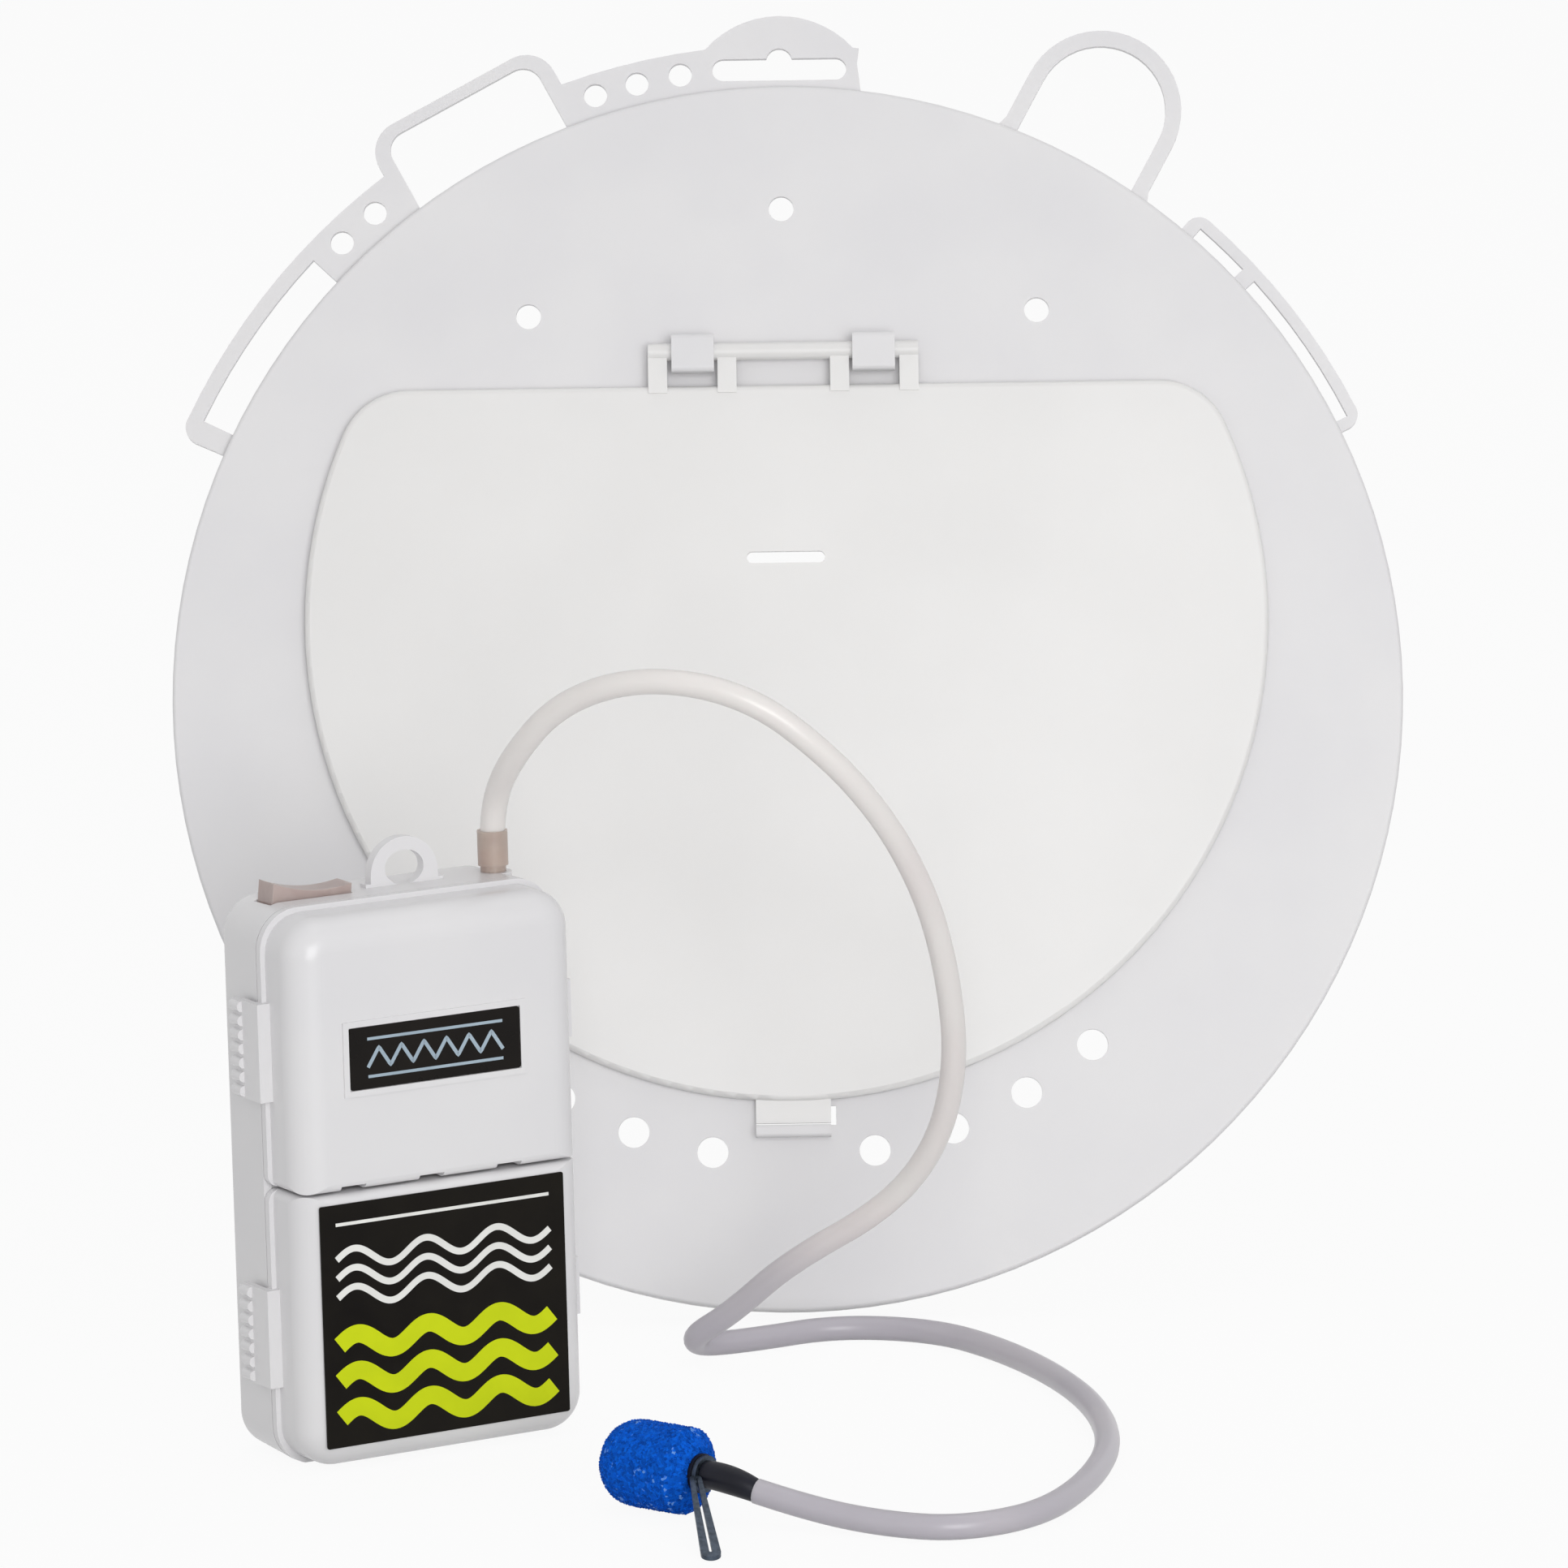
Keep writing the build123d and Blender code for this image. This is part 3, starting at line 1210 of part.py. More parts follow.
def main():
    os.makedirs("parts", exist_ok=True)
    pieces = build()
    body = Compound(children=[s for name, p in pieces.items() if name not in CORD for s in solids(p)])
    bounds = body.bounding_box()
    shift = Pos(-bounds.center().X, -bounds.center().Y, -bounds.min.Z)
    print("shift", [round(v, 4) for v in shift.position])
    for name, piece in pieces.items():
        placed = [shift * s for s in solids(piece)]
        export_step(placed[0] if len(placed) == 1 else Compound(children=placed), f"parts/{name}.step")


if __name__ == "__main__":
    main()
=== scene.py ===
"""Press-on pail lid with a trap door, and the battery air pump, hose and air stone that go with it.

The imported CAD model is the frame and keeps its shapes. This script gives every node the finish of
its real material, lays the air hose, crumbles the surface of the air stone, prints the two panels
of the pump, and sets the camera and the lamps. Metres, Z up, -Y towards the viewer.
"""

import logging
from dataclasses import dataclass, field
from enum import Enum
from math import cos, pi, radians, sin
from typing import Any

import bpy
from mathutils import Matrix, Vector

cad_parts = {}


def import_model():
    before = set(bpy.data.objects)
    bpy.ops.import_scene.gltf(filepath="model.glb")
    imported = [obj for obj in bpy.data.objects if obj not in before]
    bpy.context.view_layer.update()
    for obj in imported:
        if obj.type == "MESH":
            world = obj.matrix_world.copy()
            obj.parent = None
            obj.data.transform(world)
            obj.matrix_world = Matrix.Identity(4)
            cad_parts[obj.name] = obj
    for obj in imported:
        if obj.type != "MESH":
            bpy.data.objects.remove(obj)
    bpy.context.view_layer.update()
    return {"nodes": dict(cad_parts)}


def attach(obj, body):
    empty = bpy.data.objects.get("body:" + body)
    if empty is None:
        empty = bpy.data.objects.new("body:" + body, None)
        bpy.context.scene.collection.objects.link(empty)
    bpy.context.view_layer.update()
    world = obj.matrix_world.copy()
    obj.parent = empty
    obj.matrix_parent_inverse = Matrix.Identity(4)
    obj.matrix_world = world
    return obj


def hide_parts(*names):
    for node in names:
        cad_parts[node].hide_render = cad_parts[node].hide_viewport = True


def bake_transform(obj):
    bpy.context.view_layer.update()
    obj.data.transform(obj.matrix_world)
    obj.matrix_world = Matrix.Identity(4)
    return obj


log = logging.getLogger("bait_lid")

MM = 0.001
PLAIN_WHITE = (1.0, 1.0, 1.0, 1.0)
LAYOUT_SHIFT = Vector((0.0, 27.6616, 0.0)) * MM  # from the layout of the parts to the frame
NOISE_LOW, NOISE_HIGH = 0.25, 0.75  # where nearly all of a noise texture's values lie

Tree = bpy.types.NodeTree
Node = bpy.types.Node
Socket = bpy.types.NodeSocket
Piece = bpy.types.Object
Material = bpy.types.Material
Point = tuple[float, float, float]
Inputs = dict[str | int, Any]  # a node's inputs, by name or index


def place(x: float, y: float, z: float) -> Vector:
    """Point of the layout, in millimetres, as a point of the frame in metres."""
    return Vector((x, y, z)) * MM + LAYOUT_SHIFT


def linear(colour: str) -> tuple[float, float, float, float]:
    """Turns an sRGB colour into the linear colour that a shader takes.

    Args:
        colour: six hex digits.

    Returns:
        Red, green, blue and an alpha of 1.
    """
    parts = [int(colour[i:i + 2], 16) / 255 for i in (0, 2, 4)]
    values = [c / 12.92 if c <= 0.04045 else ((c + 0.055) / 1.055) ** 2.4 for c in parts]
    return (values[0], values[1], values[2], 1.0)


def add(tree: Tree, kind: str, inputs: Inputs | None = None, **settings: Any) -> Node:
    """Adds one node, sets its properties and fills or links its inputs.

    Args:
        tree: the node tree that gets the node.
        kind: the node's type name.
        inputs: values or output sockets, by input name or index.
        **settings: properties of the node.

    Returns:
        The new node.
    """
    node = tree.nodes.new(kind)
    for key, value in settings.items():
        setattr(node, key, value)
    for key, value in (inputs or {}).items():
        if isinstance(value, Socket):
            tree.links.new(value, node.inputs[key])
        else:
            node.inputs[key].default_value = value
    return node


def grain(tree: Tree, where: Socket, size_mm: float, detail: float = 2.0) -> Socket:
    """Noise whose lumps are about size_mm across.

    Args:
        tree: the material's tree.
        where: coordinates in metres.
        size_mm: width of one lump.
        detail: how much finer noise is laid over it.

    Returns:
        The noise value, nearly always between NOISE_LOW and NOISE_HIGH.
    """
    inputs = {"Vector": where, "Scale": 1.0 / (size_mm * MM), "Detail": detail}
    return add(tree, "ShaderNodeTexNoise", inputs).outputs["Fac"]


def eased(tree: Tree, value: Socket, start: float, end: float,
          low: float = 0.0, high: float = 1.0) -> Socket:
    """Smooth step from low to high while the value goes from start to end."""
    inputs = {"Value": value, "From Min": start, "From Max": end, "To Min": low, "To Max": high}
    return add(tree, "ShaderNodeMapRange", inputs, interpolation_type="SMOOTHSTEP").outputs["Result"]


def spread(tree: Tree, value: Socket, low: float, high: float) -> Socket:
    """Maps a noise's usual range to low and high."""
    return eased(tree, value, NOISE_LOW, NOISE_HIGH, low, high)


def blended(tree: Tree, share: Socket, first: str, second: str) -> Socket:
    """Colour between two hex colours, by a share from 0 to 1."""
    inputs = {0: share, 6: linear(first), 7: linear(second)}
    return add(tree, "ShaderNodeMix", inputs, data_type="RGBA").outputs[2]


def raised(tree: Tree, height: Socket, depth_mm: float) -> Socket:
    """Normal of a surface whose height varies by depth_mm."""
    inputs = {"Height": height, "Distance": depth_mm * MM, "Strength": 1.0}
    return add(tree, "ShaderNodeBump", inputs).outputs["Normal"]


# ------------------------------------------------------------------------------------ finishes
@dataclass(frozen=True)
class Finish:
    """What one real material looks like. Subclasses add its pattern."""

    name: str
    colour: str
    second: str  # the other end of its colour variation
    roughness: float

    def material(self) -> Material:
        """Builds the material, or finds the one that was built before.

        Returns:
            The material.
        """
        found = bpy.data.materials.get(self.name)
        if found is not None:
            return found
        made = bpy.data.materials.new(self.name)
        made.use_nodes = True
        tree = made.node_tree
        tree.nodes.clear()
        surface = add(tree, "ShaderNodeBsdfPrincipled", {"Roughness": self.roughness})
        add(tree, "ShaderNodeOutputMaterial", {"Surface": surface.outputs["BSDF"]})
        where = add(tree, "ShaderNodeTexCoord").outputs["Object"]
        self.pattern(tree, surface, where)
        made.diffuse_color = linear(self.colour)
        return made

    def pattern(self, tree: Tree, surface: Node, where: Socket) -> None:
        """Adds the material's colour variation and relief to its shader."""
        raise NotImplementedError


@dataclass(frozen=True)
class Moulded(Finish):
    """Injection-moulded plastic or rubber: cloudy colour, and the fine texture of the mould."""

    cloud_mm: float = 35.0
    grain_mm: float = 1.1  # the mould's texture, drawn coarser than the real one so that it shows
    depth_mm: float = 0.012
    milky: float = 0.0  # share of light that goes in and comes out again
    milky_mm: float = 2.0
    clear: float = 0.0  # share of light that passes through
    shine: float = 0.5  # specular level
    ior: float = 1.49
    reach: Point = (1.0, 0.95, 0.9)  # how far red, green and blue light goes in, to milky_mm

    def pattern(self, tree: Tree, surface: Node, where: Socket) -> None:
        """Adds clouds of colour and the mould's texture.

        Args:
            tree: the material's tree.
            surface: its surface shader.
            where: coordinates on the object, in metres.
        """
        clouds = spread(tree, grain(tree, where, self.cloud_mm), 0.0, 1.0)
        tree.links.new(blended(tree, clouds, self.colour, self.second), surface.inputs["Base Color"])
        fine = raised(tree, grain(tree, where, self.grain_mm), self.depth_mm)
        tree.links.new(fine, surface.inputs["Normal"])
        surface.inputs["IOR"].default_value = self.ior
        surface.inputs["Specular IOR Level"].default_value = self.shine
        surface.inputs["Transmission Weight"].default_value = self.clear
        if self.milky:
            surface.inputs["Subsurface Weight"].default_value = self.milky
            surface.inputs["Subsurface Radius"].default_value = self.reach
            surface.inputs["Subsurface Scale"].default_value = self.milky_mm * MM


@dataclass(frozen=True)
class Tubing(Finish):
    """Plasticised vinyl tube: milky, lets light through, with painted shade that makes it greyer where it
    lies and painted light that makes it paler where it rises.
    """

    clear: float = 0.2
    ior: float = 1.53
    milky: float = 0.5
    milky_mm: float = 2.5
    reach: Point = (1.0, 0.94, 0.95)
    painted_light_heights_mm: tuple[float, float] = (4.0, 60.0)  # heights between which painted shade near the floor gives way to painted light higher up
    cloud_mm: float = 40.0
    cloud_share: float = 0.12
    wave_mm: float = 5.0
    wave_depth_mm: float = 0.01

    def pattern(self, tree: Tree, surface: Node, where: Socket) -> None:
        """Adds painted light and shade by height, paler higher up and greyer near the floor, slow clouds
        along the tube and a faint waviness.

        Args:
            tree: the material's tree.
            surface: its surface shader.
            where: coordinates on the object, in metres.
        """
        height = add(tree, "ShaderNodeSeparateXYZ", {"Vector": where}).outputs["Z"]
        # painted light and shade: the hose is coloured paler higher up and greyer near the floor
        painted_light_share = eased(tree, height, self.painted_light_heights_mm[0] * MM, self.painted_light_heights_mm[1] * MM)
        clouds = grain(tree, where, self.cloud_mm, detail=1.0)
        tint = spread(tree, clouds, -self.cloud_share, self.cloud_share)
        share = add(tree, "ShaderNodeMath", {0: painted_light_share, 1: tint}, operation="ADD", use_clamp=True).outputs[0]
        tree.links.new(blended(tree, share, self.second, self.colour), surface.inputs["Base Color"])
        waves = raised(tree, grain(tree, where, self.wave_mm), self.wave_depth_mm)
        tree.links.new(waves, surface.inputs["Normal"])
        surface.inputs["IOR"].default_value = self.ior
        surface.inputs["Transmission Weight"].default_value = self.clear
        surface.inputs["Subsurface Weight"].default_value = self.milky
        surface.inputs["Subsurface Radius"].default_value = self.reach
        surface.inputs["Subsurface Scale"].default_value = self.milky_mm * MM


@dataclass(frozen=True)
class Film(Finish):
    """Printed or laminated film: smooth, satin, with a trace of the glue's orange peel."""

    peel_mm: float = 2.5
    peel_depth_mm: float = 0.006
    marks_mm: float = 14.0
    rub_mm: float = 7.0
    rub: tuple[float, float] = (-0.06, 0.08)  # what handling takes from or adds to the roughness
    shine: float = 0.1

    def pattern(self, tree: Tree, surface: Node, where: Socket) -> None:
        """Adds orange peel and faint handling marks.

        Args:
            tree: the material's tree.
            surface: its surface shader.
            where: coordinates on the object, in metres.
        """
        marks = spread(tree, grain(tree, where, self.marks_mm, detail=4.0), 0.0, 1.0)
        tree.links.new(blended(tree, marks, self.colour, self.second), surface.inputs["Base Color"])
        low, high = (self.roughness + change for change in self.rub)
        dull = spread(tree, grain(tree, where, self.rub_mm, detail=3.0), low, high)
        tree.links.new(dull, surface.inputs["Roughness"])
        peel = raised(tree, grain(tree, where, self.peel_mm), self.peel_depth_mm)
        tree.links.new(peel, surface.inputs["Normal"])
        surface.inputs["Specular IOR Level"].default_value = self.shine


class Lay(Enum):
    """Direction of the tool marks on a metal, as the stretch of their pattern along X, Y and Z."""

    ROUND = (1.0, 1.0, 1.0)
    UPRIGHT = (1.0, 1.0, 0.06)
    CLIP = (1.0, 0.12, 1.0)


@dataclass(frozen=True)
class Metal(Finish):
    """Drawn, rolled or plated metal: tool marks along its lay and a dull bloom."""

    lay: Lay = Lay.ROUND
    mark_mm: float = 0.35  # the tool's marks, drawn coarser than the real ones so that they show
    mark_depth_mm: float = 0.02
    bloom_mm: float = 5.0
    rub: tuple[float, float] = (-0.08, 0.12)  # what the marks take from or add to the roughness

    def pattern(self, tree: Tree, surface: Node, where: Socket) -> None:
        """Adds tool marks in relief and gloss, and patches of bloom.

        Args:
            tree: the material's tree.
            surface: its surface shader.
            where: coordinates on the object, in metres.
        """
        along = add(tree, "ShaderNodeMapping", {"Vector": where, "Scale": self.lay.value}).outputs["Vector"]
        marks = grain(tree, along, self.mark_mm, detail=3.0)
        bloom = spread(tree, grain(tree, where, self.bloom_mm, detail=4.0), 0.0, 1.0)
        tree.links.new(blended(tree, bloom, self.colour, self.second), surface.inputs["Base Color"])
        low, high = (self.roughness + change for change in self.rub)
        tree.links.new(spread(tree, marks, low, high), surface.inputs["Roughness"])
        tree.links.new(raised(tree, marks, self.mark_depth_mm), surface.inputs["Normal"])
        surface.inputs["Metallic"].default_value = 1.0


@dataclass(frozen=True)
class Grit(Finish):
    """Glass-bonded mineral grit: matt, each grain its own shade, more pale ones in a band round each of the
    listed edges.
    """

    tip_mm: Point = (0.0, 0.0, 0.0)
    azimuth: float = 0.0
    edges_mm: tuple[float, ...] = ()  # edges by their distance from the tip
    edge_w_mm: float = 2.0
    edge_luck: float = 0.14  # what nearness to an edge adds to a grain's chance of being pale
    grain_mm: float = 0.7
    pit_share: float = 0.7  # width of a pit, to a grain's
    pit_depth_mm: float = 0.25
    patch_mm: float = 5.0
    pale: str = "6f9fe2"
    pale_from: tuple[float, float] = (1.5, 1.58)
    pale_share: float = 0.85
    shine: float = 0.1

    def pattern(self, tree: Tree, surface: Node, where: Socket) -> None:
        """Gives each grain a shade, more pale ones near the listed edges, and puts pits between them.

        Args:
            tree: the material's tree.
            surface: its surface shader.
            where: coordinates on the object, in metres.
        """
        scale = 1.0 / (self.grain_mm * MM)
        cells = add(tree, "ShaderNodeTexVoronoi", {"Vector": where, "Scale": scale})
        shade = add(tree, "ShaderNodeSeparateColor", {"Color": cells.outputs["Color"]}).outputs["Red"]
        body = blended(tree, shade, self.colour, self.second)
        turned = add(tree, "ShaderNodeMapping", {
            "Vector": where, "Location": place(*self.tip_mm), "Rotation": (0.0, 0.0, radians(self.azimuth)),
        }, vector_type="TEXTURE").outputs["Vector"]
        along = add(tree, "ShaderNodeSeparateXYZ", {"Vector": turned}).outputs["X"]
        patches = grain(tree, where, self.patch_mm)
        lucky = add(tree, "ShaderNodeMath", {0: shade, 1: patches}, operation="ADD").outputs[0]
        # pale grains are made likelier within a band round each listed edge of the stone
        for edge_mm in self.edges_mm:
            off = add(tree, "ShaderNodeMath", {0: along, 1: edge_mm * MM}, operation="SUBTRACT").outputs[0]
            off = add(tree, "ShaderNodeMath", {0: off}, operation="ABSOLUTE").outputs[0]
            near = eased(tree, off, 0.0, self.edge_w_mm * MM, self.edge_luck, 0.0)
            lucky = add(tree, "ShaderNodeMath", {0: lucky, 1: near}, operation="ADD").outputs[0]
        pale = eased(tree, lucky, *self.pale_from, 0.0, self.pale_share)
        both = add(tree, "ShaderNodeMix", {0: pale, 6: body, 7: linear(self.pale)}, data_type="RGBA")
        tree.links.new(both.outputs[2], surface.inputs["Base Color"])
        rough = grain(tree, where, self.grain_mm * self.pit_share, detail=4.0)
        tree.links.new(raised(tree, rough, self.pit_depth_mm), surface.inputs["Normal"])
        surface.inputs["Specular IOR Level"].default_value = self.shine


@dataclass(frozen=True)
class Jacket(Finish):
    """Printed tin jacket of a round cell: plain, with two narrow rings round it."""

    rings_mm: tuple[float, float] = (16.0, 54.0)
    ring_w_mm: float = 2.2
    scuff_mm: float = 3.0
    rub: tuple[float, float] = (-0.1, 0.15)  # what scuffs take from or add to the roughness
    metallic: float = 0.6

    def pattern(self, tree: Tree, surface: Node, where: Socket) -> None:
        """Adds rings by height above the floor, and fine scuffs.

        Args:
            tree: the material's tree.
            surface: its surface shader.
            where: coordinates on the object, in metres.
        """
        height = add(tree, "ShaderNodeSeparateXYZ", {"Vector": where}).outputs["Z"]
        low_ring, high_ring = (self.ring(tree, height, z) for z in self.rings_mm)
        both = add(tree, "ShaderNodeMath", {0: low_ring, 1: high_ring}, operation="MAXIMUM").outputs[0]
        tree.links.new(blended(tree, both, self.colour, self.second), surface.inputs["Base Color"])
        low, high = (self.roughness + change for change in self.rub)
        scuffs = spread(tree, grain(tree, where, self.scuff_mm, detail=4.0), low, high)
        tree.links.new(scuffs, surface.inputs["Roughness"])
        surface.inputs["Metallic"].default_value = self.metallic

    def ring(self, tree: Tree, height: Socket, z: float) -> Socket:
        """1 within half a ring's width of a height in millimetres, 0 elsewhere."""
        inputs = {0: height, 1: z * MM, 2: self.ring_w_mm * MM / 2}
        return add(tree, "ShaderNodeMath", inputs, operation="COMPARE").outputs[0]


STONE_TIP_MM: Point = (-44.69, -176.52, 10.4)  # middle of the air stone's domed end
STONE_AZIMUTH = -38.2
STONE_LENGTH = 24.9
STONE_DOME = 7.2
STONE_CHAMFER = 3.4

# Polypropylene of the lid: a neutral white with a satin skin, a little light goes into it.
LID_WHITE = Moulded("polypropylene_lid", "e1e0e1", "dddcde", 0.42, milky=0.15)
# Polyethylene of the trap door: a touch warmer and glossier than the lid it lies on.
DOOR_WHITE = Moulded("polyethylene_door", "e8e7e6", "e4e3e2", 0.36, cloud_mm=50.0, milky=0.2)
# ABS of the pump's shells: smooth and semi-gloss, with soft highlights on the rolled edges.
CASE_WHITE = Moulded("abs_case", "e3e2e3", "dfdee0", 0.27, cloud_mm=40.0, depth_mm=0.003)
# Soft translucent vinyl of the rocker cap: pinkish tan, waxy, light comes through its edges.
ROSE_VINYL = Moulded("pvc_rose_translucent", "cdbcb7", "c1ada8", 0.3, cloud_mm=6.0, milky=0.5, milky_mm=3.0,
                     clear=0.3)
# The same vinyl, thicker, on the coupler: a little yellower.
TAN_VINYL = Moulded("pvc_tan_translucent", "ccbaae", "c0aaa0", 0.33, cloud_mm=6.0, milky=0.6, milky_mm=3.0,
                    clear=0.2)
# Nitrile rubber of the sleeve and washer: nearly black with a navy cast, satin.
BLACK_RUBBER = Moulded("nitrile_black", "191a24", "12131b", 0.42, cloud_mm=8.0, depth_mm=0.02, shine=0.2)
# EPDM rubber of the diaphragm and valve: dull grey.
GREY_RUBBER = Moulded("epdm_grey", "4a4c4f", "3f4143", 0.6, cloud_mm=6.0, depth_mm=0.02)
# Nylon of the pump head, stem and end cap: black, slightly rough.
BLACK_NYLON = Moulded("nylon_black", "202023", "19191b", 0.45, cloud_mm=12.0, shine=0.3)
# Acetal of the barb, arm and crank: natural white, slippery sheen.
WHITE_ACETAL = Moulded("acetal_white", "d8d8d4", "cfcfca", 0.32, cloud_mm=12.0, milky=0.2)
# PVC insulation of the leads.
RED_WIRE = Moulded("pvc_wire_red", "b0201f", "9c1c1c", 0.4, cloud_mm=10.0)
BLACK_WIRE = Moulded("pvc_wire_black", "1b1b1c", "141415", 0.4, cloud_mm=10.0)
# Plasticised PVC hose: milky, with painted light that makes it pale where it rises and painted shade that
# makes it lilac-grey where it lies on the table.
HOSE_PVC = Tubing("pvc_hose_milky", "fcf5f2", "c6c2ca", 0.3)
# Wall of the hose's bore, seen through the milky wall as a paler core: the wall is real, and its near-white
# opaque colour is painted light for the bright core that light along the hollow bore gives.
HOSE_BORE_PAINTED_LIGHT = Moulded("pvc_hose_bore_painted_light", "fbf9f8", "f4f1f1", 0.5, cloud_mm=30.0)
# Vinyl label and polyester badge: black film, satin, with brownish depth.
LABEL_BLACK = Film("vinyl_film_black", "120f0c", "17140f", 0.36)
BADGE_BLACK = Film("polyester_badge_black", "14110f", "191512", 0.3, shine=0.12)
# Screen inks: flat and opaque, a little duller than the film under them.
LIME_INK = Film("screen_ink_lime", "cfdd1c", "c5d41a", 0.4)
WHITE_INK = Film("screen_ink_white", "ecece8", "e4e4e0", 0.4)
BLUE_GREY_INK = Film("screen_ink_blue_grey", "a9bac6", "9fb0bd", 0.4)
# Air stone: glass-bonded aluminium oxide grit, dyed blue; its grains are drawn near their real size.
# the listed edges are where the dome meets the drum and where the chamfer starts; more pale grains gather
# there
BLUE_GRIT = Grit("bonded_grit_blue", "0246a4", "0766e0", 0.85, tip_mm=STONE_TIP_MM, azimuth=STONE_AZIMUTH,
                 edges_mm=(STONE_DOME, STONE_LENGTH - STONE_CHAMFER))
# Zinc-plated strip of the clip: dark blue-grey with a dull, mottled bloom.
ZINC_STRIP = Metal("zinc_plated_strip", "56606d", "3f4751", 0.42, lay=Lay.CLIP, bloom_mm=1.6)
# Drawn steel of pins and screws.
DRAWN_STEEL = Metal("drawn_steel", "b9bdc1", "a9adb1", 0.3, lay=Lay.UPRIGHT)
# Nickel-plated spring steel of the cell contacts.
NICKEL_STRIP = Metal("nickel_plated_strip", "c6c4bc", "b6b4ac", 0.25)
# Tinned steel of the motor can, strap and rotor.
TINNED_STEEL = Metal("tinned_steel", "c0c2c4", "a8abae", 0.35, lay=Lay.UPRIGHT, bloom_mm=9.0)
# Brass of the switch blades.
BRASS_STRIP = Metal("brass_strip", "c9a24c", "b48f41", 0.3)
# Tin jacket of the two D cells.
CELL_TIN = Jacket("cell_jacket_tin", "5d666d", "c9ced1", 0.35)


def dress(nodes: dict[str, Piece], finishes: dict[str, Finish]) -> None:
    """Gives CAD nodes their materials.

    Args:
        nodes: the frame's nodes by name.
        finishes: a finish for each node's name.
    """
    for name, finish in finishes.items():
        slots = nodes[name].data.materials
        for k in range(len(slots)):
            slots[k] = finish.material()
        log.info("dressed %s in %s", name, finish.name)


# ------------------------------------------------------------------------------ geometry nodes
@dataclass
class Recipe:
    """A geometry node tree under construction, with its named inputs."""

    name: str
    tree: Tree = field(init=False)
    source: Node = field(init=False)

    def __post_init__(self) -> None:
        """Starts the tree with one geometry going in and one coming out."""
        self.tree = bpy.data.node_groups.new(self.name, "GeometryNodeTree")
        self.tree.interface.new_socket("Geometry", in_out="INPUT", socket_type="NodeSocketGeometry")
        self.tree.interface.new_socket("Geometry", in_out="OUTPUT", socket_type="NodeSocketGeometry")
        self.source = self.tree.nodes.new("NodeGroupInput")

    def size(self, name: str, whole: bool = False) -> Socket:
        """Adds a named input.

        Args:
            name: the input's name.
            whole: whether it is a whole number and not a length.

        Returns:
            The socket that gives its value.
        """
        kind = "NodeSocketInt" if whole else "NodeSocketFloat"
        self.tree.interface.new_socket(name, in_out="INPUT", socket_type=kind)
        return self.source.outputs[name]

    def add(self, kind: str, inputs: Inputs | None = None, **settings: Any) -> Node:
        """Adds a geometry node."""
        return add(self.tree, f"GeometryNode{kind}", inputs, **settings)

    def sum(self, operation: str, *values: Socket | float) -> Socket:
        """Adds a Math node and returns its result."""
        return add(self.tree, "ShaderNodeMath", dict(enumerate(values)), operation=operation).outputs[0]

    def vector(self, parts: Inputs) -> Socket:
        """Makes a vector of the parts that are given, by index, and zeros."""
        return add(self.tree, "ShaderNodeCombineXYZ", parts).outputs[0]

    def finish(self, result: Socket, look: Finish) -> None:
        """Ends the tree: instances are made real and the material is set.

        Args:
            result: the geometry that comes out.
            look: its finish.
        """
        real = self.add("RealizeInstances", {"Geometry": result})
        coloured = self.add("SetMaterial", {"Geometry": real.outputs[0], "Material": look.material()})
        add(self.tree, "NodeGroupOutput", {"Geometry": coloured.outputs[0]})

    def run(self, piece: Piece, **sizes: float) -> None:
        """Runs the recipe on a piece and leaves its result as plain mesh.

        Args:
            piece: the object whose mesh goes in.
            **sizes: a value for each named input.
        """
        live = piece.modifiers.new(self.name, "NODES")
        live.node_group = self.tree
        for item in self.tree.interface.items_tree:
            if item.in_out == "INPUT" and item.name in sizes:
                live[item.identifier] = sizes[item.name]
        graph = bpy.context.evaluated_depsgraph_get()
        plain = bpy.data.meshes.new_from_object(piece.evaluated_get(graph))
        piece.modifiers.clear()
        spent, piece.data = piece.data, plain
        bpy.data.meshes.remove(spent)


def new_piece(name: str, mesh: bpy.types.Mesh) -> Piece:
    """Puts a mesh into the scene as an object at the origin.

    Args:
        name: the piece's name.
        mesh: its mesh.

    Returns:
        The piece.
    """
    piece = bpy.data.objects.new(name, mesh)
    bpy.context.scene.collection.objects.link(piece)
    return piece


class Wave(Enum):
    """Form of a printed line."""

    SWELL = "SINE"
    ZIGZAG = "PINGPONG"


